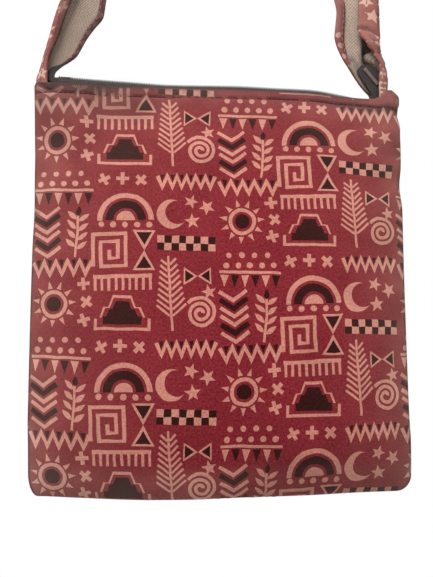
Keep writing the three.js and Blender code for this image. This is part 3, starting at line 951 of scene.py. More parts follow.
# how much shade is painted into the cloth: on the hem under the zip, along its stitched line and in a painted
# shadow band below it, at its top edge, along the bottom and most on the lower right; the cloth is also drawn
# darker below the hem on the upper left
def pouchShade(x, height):
    painted_shade = pouch["painted_shade"]
    above = height - pouch["height"] + hemRow(x, "stitch")
    patchy = clamp01(0.5 + 0.9 * noise.noise((x * 0.035, 2.2, 7.0)))
    band = hemRow(x, "painted_shade") * ramp(above, -0.4, 0.6) * (0.7 + 0.3 * patchy)
    line = painted_shade["stitchLine"] * onLine(above, 0.7)
    shadowBand = (0.3 * patchy + painted_shade["shadowBand"] * ramp(x, 62, 82)) * onLine(above + 0.6, 1.8)
    fromTop = pouch["height"] - height
    rim = painted_shade["rim"] * ramp(fromTop, 0.9, 0.1) * (1 - 0.6 * ramp(x, 92, 100))
    # the cloth is drawn darker below the hem on the upper left
    upperLeft = painted_shade["upperLeft"] * ramp(x, -28, -58) * ramp(height, 230, 244)
    foot = fallingOff(painted_shade["bottom"], height) + painted_shade["lowRight"] * lowRight(x) * ramp(height, 46, 12)
    return clamp01(max(band, line, shadowBand, upperLeft) + rim + foot)


def panelOutline():
    full, corner = pouch["height"], max(side["tall"] for side in pouch["corner"].values())
    roundSteps, rows, across = 9, 70, 64
    heights = [corner * (1 - math.cos(math.pi / 2 * i / roundSteps)) for i in range(roundSteps)]
    heights += [corner + i * (full - corner) / rows for i in range(rows + 1)]
    right = [(sideSeam("inRight", h), h) for h in heights]
    left = [(-sideSeam("inLeft", h), h) for h in heights]
    foot = [(mix(left[0][0], right[0][0], i / across), 0.0) for i in range(1, across)]
    top = [(mix(right[-1][0], left[-1][0], i / across), float(full)) for i in range(1, across)]
    return foot + right + top + left[::-1]


# points inside a panel, closer together near its side seams, its foot, its stitched line and its edge
def panelGrid():
    full, shares = pouch["height"], 58
    heights = [1.0, 2.4, 4.2, 6.5, 9.5, 13]
    while heights[-1] < full - 16:
        heights.append(heights[-1] + pouch["grid"])
    points = []
    for i in range(1, shares):
        s = math.sin((i / shares - 0.5) * math.pi) * 0.45 + (2 * i / shares - 1) * 0.55
        stitch = full - hemRow(seamAt(s, full) * s, "stitch")
        rows = heights + [stitch + above for above in (-3.2, -1.9, -1.2, -0.6, 0.0, 0.6, 1.2, 1.9)]
        rows += [full - below for below in (2.2, 1.0, 0.4)]
        points += [(seamAt(s, height) * s, height) for height in rows]
    return points


def makePanel(side, shift):
    node = side + "_panel"
    outline, grid = panelOutline(), panelGrid()
    flip = 1 if side == "front" else -1
    if flip < 0:
        outline = [(-u, v) for u, v in outline][::-1]
        grid = [(-u, v) for u, v in grid]
    flat, faces, faceInks = cutCloth(outline, grid, shift)
    made = sewWall(
        node + "_cloth",
        flat,
        faces,
        faceInks,
        lambda u, v, w: panelPoint(side, flip * u, v, w),
        {"fade_and_sheen": lambda u, v: pouchFadeAndSheen(flip * u, v), "painted_shade": lambda u, v: pouchShade(flip * u, v)},
        edgeSteps=4,
    )
    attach(made, "root")
    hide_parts(node)
    print("stage:", node, "cut into", len(faces), "faces")


makePanel("front", shift=(-118.0, -3.5))
makePanel("back", shift=(-61.0, 33.0))


# The strap, in mm. Near the bag each row gives where its section runs: from the inner edge to the fold and
# back to the free edge of the flap. Higher up the flap opens out until the strap lies flat over its hook.
flatColumns = ("rise", "side", "depth", "flap", "bend", "radius", "turn")
strap = {
    "drop": 590,
    "hangRadius": 22,
    "wall": 0.8,
    "outside": 1.0,
    "hemWidth": 5.2,
    "hemRise": 1.3,
    "width": 41,
    "tapeFace": 0.45,
    "tapeBack": 0.05,
    "tapeInset": 4.0,
    "crush": 0.45,
    "leftShares": (0, 0.14, 0.5, 0.68, 0.8, 0.9, 1),
    "leftLeg": asRows(
        ("rise", "inner", "innerDepth", "fold", "foldDepth", "gape", "free"),
        (
            (-24, 105.5, 2.4, 113, 0, 2.4, 105.8),
            (-4, 106.5, 2.6, 116.8, 0, 2.6, 109.5),
            (0, 107.2, 2.7, 118, 0, 2.6, 110.6),
            (4, 107.8, 2.7, 117.7, 0, 2.4, 111),
            (9, 107.6, 2.5, 115.8, -0.3, 2, 111),
            (13.6, 103.5, 2.6, 114.6, -0.5, 1.8, 110.8),
            (17.6, 98.2, 3.4, 113.6, -0.8, 1.7, 110),
            (21.6, 93.9, 4.1, 112.6, -1, 1.6, 108.4),
            (25.7, 91.8, 4.6, 111.5, -1.2, 1.6, 106.4),
            (33.8, 87.9, 5.2, 109.2, -1.5, 1.6, 103.2),
            (41.9, 82.8, 5.8, 107.2, -1.8, 1.6, 100.8),
            (50, 77.1, 6.2, 104.8, -2, 1.7, 98),
            (58, 76, 6.4, 102, -2.2, 1.8, 94.8),
            (66, 74.8, 6.6, 99.2, -2.4, 1.9, 91.4),
        ),
    ),
    "leftFlat": asRows(
        flatColumns,
        (
            (125, 84, 0, 7.5, 110, 3, 34),
            (240, 60, -5, 5.5, 35, 6, 54),
            (400, 36, -12, 5, 8, 8, 80),
            (500, 26, -15, 5, 0, 8, 90),
            (568, 23.3, -15.5, 5, 0, 8, 90),
        ),
    ),
    "rightShares": (0, 0.12, 0.42, 0.56, 0.7, 0.85, 1),
    "rightLeg": (
        (-24, (102.5, 2.6), (103.5, 2.7), (105, 2.8), (107.5, 2.6), (110, 0), (107.5, -2.5), (103.5, -2.5)),
        (-2, (101.2, 2.8), (101.8, 2.9), (105, 2.9), (108, 2.7), (110.8, 0), (108.6, -2.6), (105.8, -2.6)),
        (1.6, (97.6, 2.6), (98.4, 2.6), (102.5, 2.6), (108, 2.5), (111.3, 0), (109, -2.4), (105.8, -2.6)),
        (5.7, (94, 2.4), (95, 2.3), (101, 2.3), (107.6, 2.2), (111.6, -0.2), (109.2, -2.3), (105.9, -2.7)),
        (9.9, (91, 2.2), (92.2, 2.1), (98.6, 2), (106.6, 2), (111.3, -0.4), (109.2, -2.4), (106, -2.9)),
        (14, (88.3, 2), (90, 1.9), (96.6, 1.9), (104.8, 2.4), (110.7, -0.4), (109, -2.6), (106.2, -3.2)),
        (18.2, (85.8, 1.9), (88, 1.8), (95.2, 1.8), (101, 4), (107.2, 1), (109.7, -1.8), (106.4, -3.8)),
        (22.3, (83, 1.8), (86, 1.6), (95.1, 1.6), (97.4, 5.4), (99.6, 0.8), (108.4, -0.9), (103.2, -3.4)),
        (26.5, (81, 1.8), (85, 1.4), (95.1, 1.4), (97.2, 6), (99, 0.6), (107.3, -0.9), (102.3, -3.6)),
        (28.6, (80.1, 1.8), (84.5, 1.4), (95.2, 1.4), (97.7, 4.9), (104.6, 0.8), (106.8, -2.2), (97.4, -5.1)),
        (30.3, (79.4, 1.8), (84, 1.4), (95.2, 1.4), (98.8, 4), (106.2, 0.4), (105, -3.2), (97.3, -5.3)),
        (32, (78.8, 1.8), (83.8, 1.4), (95.2, 1.5), (100.2, 3.2), (106.8, 0), (103.6, -3.6), (96.8, -5.3)),
        (34.8, (78, 1.8), (83.3, 1.4), (95.4, 1.6), (101, 2.4), (107, -0.2), (101.6, -3.7), (93.6, -5)),
        (38.5, (77.4, 1.8), (83.2, 1.4), (95.5, 1.6), (101.5, 2.2), (107.2, -0.2), (101, -3.4), (92.6, -4.3)),
        (42, (77.8, 1.9), (83.6, 1.5), (95.6, 1.6), (101.7, 2), (107, -0.2), (100.6, -3), (91.8, -3.6)),
        (47.4, (78.4, 2), (84, 1.6), (95.7, 1.7), (101.8, 1.9), (107, -0.2), (100.5, -2.4), (93, -2.6)),
        (56, (79.3, 2.2), (84.8, 1.7), (95.9, 1.7), (102, 1.9), (107, -0.3), (100.5, -2.2), (93, -2.4)),
        (66, (77.6, 2.4), (83.6, 1.8), (95.9, 1.7), (102.2, 1.8), (106.6, -0.4), (100.5, -2.2), (93.4, -2.4)),
    ),
    # a sharp crease across the right flap, where it buckles
    "crease": {"rise": 38.2, "slope": 3.5, "width": 1.3, "depth": 1.5},
    "rightFlat": asRows(
        flatColumns,
        (
            (125, 92, 0.5, 8, 135, 2.6, 22),
            (240, 66, -5, 6.5, 60, 4.5, 48),
            (400, 37, -12, 5, 10, 8, 80),
            (500, 26, -15, 5, 0, 8, 90),
            (568, 23.3, -15.5, 5, 0, 8, 90),
        ),
    ),
}


# a row near the bag on the left: inner edge, hem, middle, start of the fold, outermost point, and the flap
def leftSection(row):
    start = (mix(row["inner"], row["fold"], 0.84), row["foldDepth"] + row["gape"])
    inner = (row["inner"], row["innerDepth"])
    points = [inner]
    for share in (0.2, 0.72):
        points.append((mix(inner[0], start[0], share), mix(inner[1], start[1], share)))
    flap = row["foldDepth"] - row["gape"]
    points += [start, (row["fold"], row["foldDepth"]), (mix(row["fold"], row["free"], 0.45), flap)]
    return points + [(row["free"], flap - 0.2)]


# a row higher up: a straight part, a round fold that opens out, and the flap after it
def flatSection(row, shares):
    bend, turn = math.radians(row["bend"]), math.radians(row["turn"])
    c, s = math.cos(turn), math.sin(turn)
    arc = row["radius"] * bend
    main = strap["width"] - row["flap"] - arc
    points = []
    for share in shares:
        w = share * strap["width"]
        turned = min(bend, max(0.0, (w - main) / row["radius"]))
        past = max(0.0, w - main - arc)
        a = max(0.0, main - w) - row["radius"] * math.sin(turned) - past * math.cos(turned)
        b = row["radius"] * (1 - math.cos(turned)) + past * math.sin(turned)
        points.append((row["side"] - a * c + b * s, row["depth"] + a * s - b * c))
    return points


def sectionRows(near, flat, shares):
    rows = []
    for rise, points in near + [(row["rise"], flatSection(row, shares)) for row in flat]:
        row = {"rise": rise}
        for i, (x, y) in enumerate(points):
            row["x", i], row["y", i] = x, y
        rows.append(row)
    return rows


strapSamples = 72  # points across a section


# a smooth line through the points of a section, sampled evenly over the strap's width
def sampledSection(points, shares):
    sampled = []
    for k in range(strapSamples + 1):
        at = k / strapSamples
        i = min(len(shares) - 2, bisect.bisect_right(shares, at) - 1)
        step = shares[i + 1] - shares[i]
        t = (at - shares[i]) / step
        slopes = []
        for j in (i, i + 1):
            before, after = max(0, j - 1), min(len(shares) - 1, j + 1)
            slopes.append((points[after] - points[before]) / (shares[after] - shares[before]) * step)
        held = points[i] * (1 + 2 * t) * (1 - t) ** 2 + points[i + 1] * t * t * (3 - 2 * t)
        sampled.append(held + slopes[0] * t * (1 - t) ** 2 + slopes[1] * t * t * (t - 1))
    return sampled


# the heights at which a leg is cut into sections, closest near the bag
def legRises():
    rises = [-24.0]
    while rises[-1] < strap["drop"] - strap["hangRadius"] - 12:
        step = 1.4 if rises[-1] < 70 else 3.0 if rises[-1] < 130 else 9.0
        rises.append(rises[-1] + step)
    return rises


# every station along the strap: the points of its section and the way its inner face looks at each
def strapStations():
    stations = []

    def addLeg(sign, near, flat, shares, rises):
        rows = sectionRows(near, flat, shares)
        for rise in rises:
            points = []
            for i in range(len(shares)):
                x, y = (readTable(rows, "rise", rise, (axis, i)) for axis in ("x", "y"))
                points.append(Vector((sign * x, y, cornerLevel + rise)))
            line = sampledSection(points, shares)
            looks = []
            for k in range(strapSamples + 1):
                along = line[min(strapSamples, k + 1)] - line[max(0, k - 1)]
                looks.append(Vector((sign * along.y, -sign * along.x, 0)).normalized())
            stations.append((line, looks))

    left = [(row["rise"], leftSection(row)) for row in strap["leftLeg"]]
    addLeg(-1, left, strap["leftFlat"], strap["leftShares"], legRises())
    # the round over the hook
    centre = cornerLevel + strap["drop"] - strap["hangRadius"]
    reach = strap["leftFlat"][-1]["side"]
    archSteps = 28
    for i in range(archSteps + 1):
        a = math.pi * i / archSteps
        look = Vector((math.cos(a), 0, -math.sin(a)))
        line = []
        for k in range(strapSamples + 1):
            y = strap["width"] * (0.5 - k / strapSamples)
            line.append(Vector((-reach * math.cos(a), y, centre + reach * math.sin(a))))
        stations.append((line, [look] * (strapSamples + 1)))
    right = [(row[0], list(row[1:])) for row in strap["rightLeg"]]
    addLeg(1, right, strap["rightFlat"], strap["rightShares"], legRises()[::-1])
    return stations


stations = strapStations()
stationRuns = [0.0]
measured = strapSamples // 4  # the strap is measured along this point of its sections
for before, after in zip(stations, stations[1:]):
    stationRuns.append(stationRuns[-1] + (after[0][measured] - before[0][measured]).length)
strapLength = stationRuns[-1]


# how far the strap has climbed from the hem of the bag, on either leg
def riseAt(run):
    i = min(len(stations) - 1, max(0, bisect.bisect_left(stationRuns, run)))
    return stations[i][0][0].z - cornerLevel


def onLeft(run):
    return run <= strapLength / 2


# how near a place on the strap is to the crease across its right flap
def creaseAt(run, share):
    if onLeft(run) or share < 0.72:
        return 0.0
    crease = strap["crease"]
    off = riseAt(run) - crease["rise"] - crease["slope"] * (share - 0.7) / 0.3
    return onLine(off, crease["width"]) * ramp(share, 0.72, 0.8)


# a point of the strap at a length along it and a share of its width from the inner edge, with soft dents
def strapPoint(run, share, lift):
    i = min(len(stations) - 2, max(0, bisect.bisect_right(stationRuns, run) - 1))
    t = clamp01((run - stationRuns[i]) / (stationRuns[i + 1] - stationRuns[i]))
    at = clamp01(share) * strapSamples
    k = min(strapSamples - 1, int(at))
    f = at - k
    near = math.exp(-min(run, strapLength - run) / 70)
    dent = strap["crush"] * (0.35 + near) * noise.noise((run * 0.045, share * 2.6, 3.0))
    dent += strap["crease"]["depth"] * creaseAt(run, share)
    ends = []
    for line, looks in (stations[i], stations[i + 1]):
        ends.append(line[k].lerp(line[k + 1], f) + looks[k].lerp(looks[k + 1], f) * (lift + dent))
    return ends[0].lerp(ends[1], t)


# the cloth strip wraps both edges of the strap: fold, edge, outer face, edge, fold
edgeRadius = (strap["outside"] + strap["hemRise"]) / 2
foldFlat = strap["hemWidth"] - edgeRadius
edgeFlat = math.pi * edgeRadius
outerFlat = strap["width"] - 2 * edgeRadius
stripWidth = 2 * foldFlat + 2 * edgeFlat + outerFlat


def stripPoint(run, q, depth):
    radius = edgeRadius - depth
    middle = (strap["hemRise"] - strap["outside"]) / 2
    backSide = q < stripWidth / 2
    c = q if backSide else stripWidth - q
    if c < foldFlat:
        inwards, lift = strap["hemWidth"] - c, strap["hemRise"] - depth
    elif c < foldFlat + edgeFlat:
        a = (c - foldFlat) / edgeRadius
        inwards, lift = edgeRadius - radius * math.sin(a), middle + radius * math.cos(a)
    else:
        inwards, lift = edgeRadius + c - foldFlat - edgeFlat, -strap["outside"] + depth
    share = inwards / strap["width"]
    return strapPoint(run, share if backSide else 1 - share, lift)


def strapFade(run, q):
    return clamp01(0.8 + 0.4 * noise.noise((run * 0.03, q * 0.06, 9.0)))


# painted shade along the hems and in the creases, and a painted shadow beside the left flap, most of all
# beside the left of the bag
def strapShade(run, q):
    rise = riseAt(run)
    low = ramp(rise, 170, 110)
    edge = foldFlat + edgeFlat
    fromFree = stripWidth - q
    if onLeft(run):
        patchy = clamp01(0.6 + 0.9 * noise.noise((run * 0.05, q * 0.1, 4.0)))
        hem = 0.82 * ramp(q, edge * 0.95, edge * 0.95 - 1.6)
        reach = edge + mix(2.6, 5.4, ramp(rise, 20, 56))
        flap = 0.95 * ramp(fromFree, reach, reach - 1.4) * ramp(rise, 14, 26)
        return clamp01(hem + flap * (0.6 + 0.4 * patchy)) * low
    # on the right leg: a painted shadow in patches along the hem's edge, and painted shade in the crease
    shadePatches = ramp(noise.noise((run * 0.07, 0.0, 2.5)), -0.25, 0.05)
    hem = 0.62 * shadePatches * ramp(q, 2.6, 1.6) + 0.2 * ramp(q, edge, edge - 3)
    share = 1 - (fromFree - edge + edgeRadius) / strap["width"]
    return clamp01(hem * low + 0.75 * creaseAt(run, share))


def makeStrap():
    steps, ends, rowsAcross, roundSteps = 420, 24, 18, 5
    outline = [(0.0, q * stripWidth / ends) for q in range(ends, 0, -1)]
    outline += [(strapLength * i / steps, 0.0) for i in range(steps)]
    outline += [(strapLength, q * stripWidth / ends) for q in range(ends)]
    outline += [(strapLength * i / steps, stripWidth) for i in range(steps, 0, -1)]
    runs = [1.0]
    while runs[-1] < strapLength - 7:
        runs.append(runs[-1] + (2.0 if min(runs[-1], strapLength - runs[-1]) < 95 else 6.0))
    rows = [foldFlat / 2, stripWidth - foldFlat / 2]
    rows += [foldFlat + edgeFlat + outerFlat * i / rowsAcross for i in range(1, rowsAcross)]
    inner = [(run, q) for run in runs for q in rows]
    edgeRows = [foldFlat + edgeFlat * i / roundSteps for i in range(roundSteps + 1)]
    edgeRows += [stripWidth - q for q in edgeRows]
    bends = [[(run, q) for run in runs] for q in edgeRows]
    flat, faces, faceInks = cutCloth(outline, inner, shift=(48.0, 14.0), bends=bends)
    made = sewWall(
        "strap_cloth",
        flat,
        faces,
        faceInks,
        lambda u, v, w: stripPoint(u, v, w * strap["wall"]),
        {"fade_and_sheen": strapFade, "painted_shade": strapShade},
        edgeSteps=2,
    )
    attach(made, "root")
    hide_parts("strap_band")
    print("stage: strap cloth cut into", len(faces), "faces, length", round(strapLength), "mm")


makeStrap()


def makeTape():
    tapeWidth = strap["width"] - 2 * strap["tapeInset"]

    # low on the right leg the tape is pulled out over the hem
    def place(u, v, w):
        run = strapLength * u
        over = 0.0 if onLeft(run) else ramp(riseAt(run), 20, 15)
        inset = mix(strap["tapeInset"], 0.3, over)
        fromEdge = mix(inset, strap["width"] - strap["tapeInset"], v)
        lift = mix(strap["tapeBack"], strap["tapeFace"], w)
        lift += 1.4 * over * (1 - ramp(fromEdge, 4.4, 6.6))
        return strapPoint(run, fromEdge / strap["width"], lift)

    # painted shadow along the hems, in the folds and in the valley beside the right flap, and painted shade
    # near the bag
    def shadeAt(run, across):
        share = (strap["tapeInset"] + across) / strap["width"]
        rise = riseAt(run)
        shadePatches = smooth(0.5 + 1.6 * noise.noise((run * 0.06, 0.0, 6.0)))
        shadeAmount = 0.6 * shadePatches * math.exp(-max(0.0, across - 1.2))
        shadeAmount += 0.5 * math.exp(-max(0.0, rise) / (28 if onLeft(run) else 12))
        if onLeft(run):
            shadeAmount += 0.55 * ramp(share, 0.64, 0.71) * ramp(rise, 150, 100)
            crease = onLine(share - 0.55, 0.02) * ramp(rise, 36, 44) * ramp(rise, 110, 80)
            return clamp01(shadeAmount + 0.4 * crease)
        valley = ramp(share, 0.4, 0.44) * ramp(share, 0.69, 0.64)
        shadeAmount += 0.95 * valley * ramp(rise, 18, 22) * ramp(rise, 44, 40)
        shadePatch = smooth(0.5 + 1.4 * noise.noise((run * 0.22, across * 0.3, 5.0))) * ramp(share, 0.5, 0.44)
        shadeAmount += 0.55 * shadePatch * onLine(rise - 20, 6) + 0.14 * ramp(rise, 58, 44)
        return clamp01(shadeAmount * (1 - 0.8 * ramp(share, 0.67, 0.72)))

    columns, rows = 620, 26
    flat = (strapLength, tapeWidth)
    made = wovenStrip("strap_twill_tape", columns, rows, place, tapeMaterial, flat, shadeAt)
    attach(made, "root")
    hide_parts("strap_tape")
    print("stage: strap tape made")


makeTape()


# The zip: two woven tapes that meet under a nylon coil, in mm.
zipper = {
    "left": -104.5,
    "right": 100.5,
    "tuck": 7,
    "foot": 3.3,
    "ridge": 1.3,
    "wall": 0.8,
    "flat": (197, 14),
    "pitch": 1.6,
    "rodRadius": 0.56,
    "rodLength": 4.2,
    "rodRound": 0.25,
    "rodsOver": 1.42,
    "sunk": 0.5,
    "legRadius": 0.34,
    "legLength": 2.6,
    "legFoot": 0.8,
    "legLean": 0.3,
    "legProud": 0.15,
    "margin": 1,
    "rows": asRows(
        ("side", "rise"),
        (
            (-104.5, 8.4),
            (-84, 7.4),
            (-60, 6.4),
            (-32, 5.3),
            (10, 5.7),
            (40, 5.2),
            (60, 5.2),
            (79, 4.4),
            (88, 4.0),
            (94, 2.6),
            (100.5, 1.5),
        ),
    ),
    # the tapes' left end, turned up beside the strap and along its lower edge
    "end": (
        (-96.5, 262.3),
        (-103, 262.2),
        (-106.6, 262.2),
        (-108.7, 263.2),
        (-109.4, 265.2),
        (-109.4, 268.2),
        (-107.6, 270.4),
        (-104, 272.6),
        (-99, 275.6),
    ),
    "endHalf": 1.9,
    "endDepth": (-0.9, 1.6),
    "endFlat": (26, 4),
    # the tapes' right end, laid up inside the fold of the strap
    "tail": asRows(
        ("rise", "near", "far"),
        (
            (-8, 101, 106.5),
            (-2, 101.5, 107),
            (1.6, 99.6, 107.5),
            (5.7, 97, 108),
            (10, 94.3, 108.5),
            (14, 92, 108),
            (18.5, 95, 102),
        ),
    ),
    "tailDepth": 0.6,
    "tailRipple": 0.3,
    "tailFlat": (26, 14),
    "tailCoil": ((97.2, 15.6), (105.4, 5.4)),
    "tailLoops": 14,
    "tailShare": 0.55,
    "tailProud": 0.7,
}


def hemEdge(x):
    return cornerLevel - hemRow(x, "sag")


def chainTop(x):
    return hemEdge(x) + readTable(zipper["rows"], "side", x, "rise")


# the outer face of a tape from its tucked foot to the coil: how far out it stands, and its level
def tapeFace(x, v):
    y = mix(zipper["foot"], zipper["ridge"], ramp(v, 0.4, 1))
    return y, mix(hemEdge(x) - zipper["tuck"], chainTop(x) - zipper["rodsOver"], v)


# the short end of the tapes beside the left strap
def makeTapeEnd():
    line = [Vector((x, 0, pouchFoot + z)) for x, z in zipper["end"]]
    last = len(line) - 1

    def place(u, v, w):
        i = min(last - 1, int(u * last))
        t = u * last - i
        ahead = (line[min(i + 2, last)] - line[i]).lerp(line[i + 1] - line[max(0, i - 1)], 1 - t)
        across = Vector((-ahead.z, 0, ahead.x)).normalized()
        half = zipper["endHalf"] * (1 - 0.8 * ramp(u, 0.66, 1))
        spot = line[i].lerp(line[i + 1], t) + across * (2 * v - 1) * half
        return (spot.x, mix(*zipper["endDepth"], u) + (w - 0.5) * zipper["wall"], spot.z)

    columns, rows = 36, 4
    return wovenStrip("zip_tape_end", columns, rows, place, zipTapeMaterial, zipper["endFlat"])


# the tail of the tapes in the fold of the right strap
def makeTapeTail():
    lowest, highest = zipper["tail"][0]["rise"], zipper["tail"][-1]["rise"]

    def place(u, v, w):
        rise = mix(lowest, highest, u)
        near, far = (readTable(zipper["tail"], "rise", rise, column) for column in ("near", "far"))
        depth = zipper["tailDepth"] + zipper["tailRipple"] * noise.noise((u * 5, v * 2, 8.0))
        return (mix(near, far, v), depth + (w - 0.5) * zipper["wall"], cornerLevel + rise)

    columns, rows = 22, 10
    return wovenStrip("zip_tape_tail", columns, rows, place, zipTapeMaterial, zipper["tailFlat"])


def makeZipTape(side):
    away = -1 if side == "front" else 1

    def place(u, v, w):
        x = mix(zipper["left"], zipper["right"], u)
        y, z = tapeFace(x, v)
        return (x, away * (y - (1 - w) * zipper["wall"]), z)

    columns, rows = 160, 12
    made = wovenStrip("zip_tape_" + side + "_woven", columns, rows, place, zipTapeMaterial, zipper["flat"])
    if side == "front":
        selectOnly(made, makeTapeEnd(), makeTapeTail())
        bpy.ops.object.join()
    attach(made, "root")
    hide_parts("zip_tape_" + side)


makeZipTape("front")
makeZipTape("back")


# one filament of the coil: a short rod along Y with rounded ends
def coilRod(radius, length, material):
    bpy.ops.object.select_all(action="DESELECT")
    bpy.ops.mesh.primitive_cylinder_add(
        vertices=8, radius=radius * mm, depth=length * mm, rotation=(math.pi / 2, 0, 0)
    )
    rod = bpy.context.active_object
    bpy.ops.object.transform_apply(location=True, rotation=True, scale=True)
    bevel = rod.modifiers.new("round_head", "BEVEL")
    bevel.width = zipper["rodRound"] * mm
    bevel.segments = 1
    bpy.ops.object.modifier_apply(modifier=bevel.name)
    bpy.ops.object.shade_smooth()
    rod.data.materials.append(material)
    return rod


def makeTeeth():
    toothPlaces, legPlaces, tailPlaces = [], [], []
    quarter = Matrix.Rotation(math.pi / 2, 4, "Z")
    first, last = zipper["left"] + zipper["margin"], zipper["right"] - zipper["margin"]
    for i in range(int((last - first) / zipper["pitch"]) + 1):
        x = first + i * zipper["pitch"]
        spot = Vector((x, 0, chainTop(x) - zipper["sunk"] - zipper["rodRadius"]))
        toothPlaces.append(Matrix.Translation(spot * mm))
        # the slanting legs that are sewn down on the tapes
        for away in (-1, 1):
            ends = []
            for v, lean in ((1.0, -zipper["legLean"]), (zipper["legFoot"], zipper["legLean"])):
                y, z = tapeFace(x, v)
                ends.append(Vector((x + lean * zipper["pitch"], away * (y + zipper["legProud"]), z)))
            legPlaces.append(stitchPlace(ends[0], ends[1], Vector((0, away, 0))) @ quarter)
    # the loops go on along the tail of the tapes, seen from below
    (startX, startRise), (lastX, lastRise) = zipper["tailCoil"]
    lying = Matrix.Rotation(-math.atan2(lastRise - startRise, lastX - startX), 4, "Y")
    lying = lying @ Matrix.Rotation(math.pi / 2, 4, "X") @ Matrix.Scale(zipper["tailShare"], 4, (0, 1, 0))
    for i in range(zipper["tailLoops"]):
        t = i / (zipper["tailLoops"] - 1)
        level = cornerLevel + mix(startRise, lastRise, t)
        spot = Vector((mix(startX, lastX, t), zipper["tailDepth"] - zipper["tailProud"], level))
        tailPlaces.append(Matrix.Translation(spot * mm) @ lying)
    rod, leg = (zipper["rodRadius"], zipper["rodLength"]), (zipper["legRadius"], zipper["legLength"])
    teeth = copyTo(coilRod(*rod, coilMaterial), toothPlaces, "zip_coil_teeth")
    legs = copyTo(coilRod(*leg, legHighlightMaterial), legPlaces, "zip_coil_legs")
    tail = copyTo(coilRod(*rod, coilUndersideHighlightMaterial), tailPlaces, "zip_coil_tail")
    selectOnly(teeth, legs, tail)
    bpy.ops.object.join()
    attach(teeth, "root")
    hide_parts("zip_teeth")
    print("stage: zip made with", len(toothPlaces) + len(tailPlaces), "coil loops")


makeTeeth()

# Sewing thread, in mm: lockstitch rows along both hems of the pouch and both folds of the strap.
# Thread of 0.4 mm is drawn at 0.8 mm.
thread = {
    "stitch": 2.9,
    "pitch": 3.1,
    "hemSide": 115,
    "strapStitch": 3.2,
    "strapPitch": 4.0,
    "strapStart": 26,
    "strapEnd": 28,
    "width": 0.8,
    "height": 0.45,
    "proud": 0.05,
    "strapProud": 0.03,
    "inset": 4.2,
}


def stitchSource(length, material):
    bpy.ops.object.select_all(action="DESELECT")
    bpy.ops.mesh.primitive_uv_sphere_add(
        segments=6, ring_count=4, radius=0.5 * mm, rotation=(0, math.pi / 2, 0)
    )
    stitch = bpy.context.active_object
    bpy.ops.object.transform_apply(location=True, rotation=True, scale=True)
    bpy.ops.object.mode_set(mode="EDIT")
    bpy.ops.mesh.select_all(action="SELECT")
    bpy.ops.transform.resize(value=(length, thread["width"], thread["height"]))
    bpy.ops.object.mode_set(mode="OBJECT")
    bpy.ops.object.shade_smooth()
    stitch.data.materials.append(material)
    return stitch


def makeHemStitches(side):
    out = Vector((0, -1 if side == "front" else 1, 0))

    def at(x):
        level = pouch["height"] - hemRow(x, "stitch")
        return Vector(panelPoint(side, x, level, 0)) + out * thread["proud"]

    places = []
    x = -thread["hemSide"]
    while x < thread["hemSide"]:
        places.append(stitchPlace(at(x), at(x + thread["stitch"]), out))
        x += thread["pitch"]
    made = copyTo(stitchSource(thread["stitch"], threadMaterial), places, side + "_hem_stitches")
    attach(made, "root")


def makeStrapStitches():
    places = []
    fromEdge = thread["inset"] / strap["width"]
    for share in (fromEdge, 1 - fromEdge):
        for face, way in ((strap["hemRise"], 1), (-strap["outside"], -1)):
            lift = face + way * thread["strapProud"]
            run = thread["strapStart"]
            while run < strapLength - thread["strapEnd"]:
                before = strapPoint(run, share, lift)
                after = strapPoint(run + thread["strapStitch"], share, lift)
                out = strapPoint(run, share, lift + way) - before
                places.append(stitchPlace(before, after, out))
                run += thread["strapPitch"]
    made = copyTo(stitchSource(thread["strapStitch"], strapThreadMaterial), places, "strap_stitches")
    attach(made, "root")
    print("stage: strap sewn with", len(places), "stitches")


makeHemStitches("front")
makeHemStitches("back")
makeStrapStitches()

# The slider at the right end of the zip, with its pull over the back, in mm.
slider = {
    "side": 92,
    "length": 9,
    "width": 7.6,
    "height": 3.4,
    "round": 0.7,
    "sunk": 0.6,
    "narrowed": 0.78,
    "bridgeRadius": 2.3,
    "bridgeWire": 0.55,
    "bridgeOut": 2.6,
    "bridgeDrop": 1.4,
    "bridgeLean": 0.6,
    "pullWidth": 4.6,
    "pullWall": 1.1,
    "pullRound": 0.4,
    "pullDrop": 19,
    "holeRadius": 1.2,
    "holeRise": 3.2,
}


def shapedBlock(size, place, bevelWidth):
    bpy.ops.object.select_all(action="DESELECT")
    bpy.ops.mesh.primitive_cube_add(size=mm, location=Vector(place) * mm)
    block = bpy.context.active_object
    block.scale = size
    bpy.ops.object.transform_apply(location=True, rotation=True, scale=True)
    bevel = block.modifiers.new("cast_edges", "BEVEL")
    bevel.width = bevelWidth * mm
    bevel.segments = 2
    bpy.ops.object.modifier_apply(modifier=bevel.name)
    return block


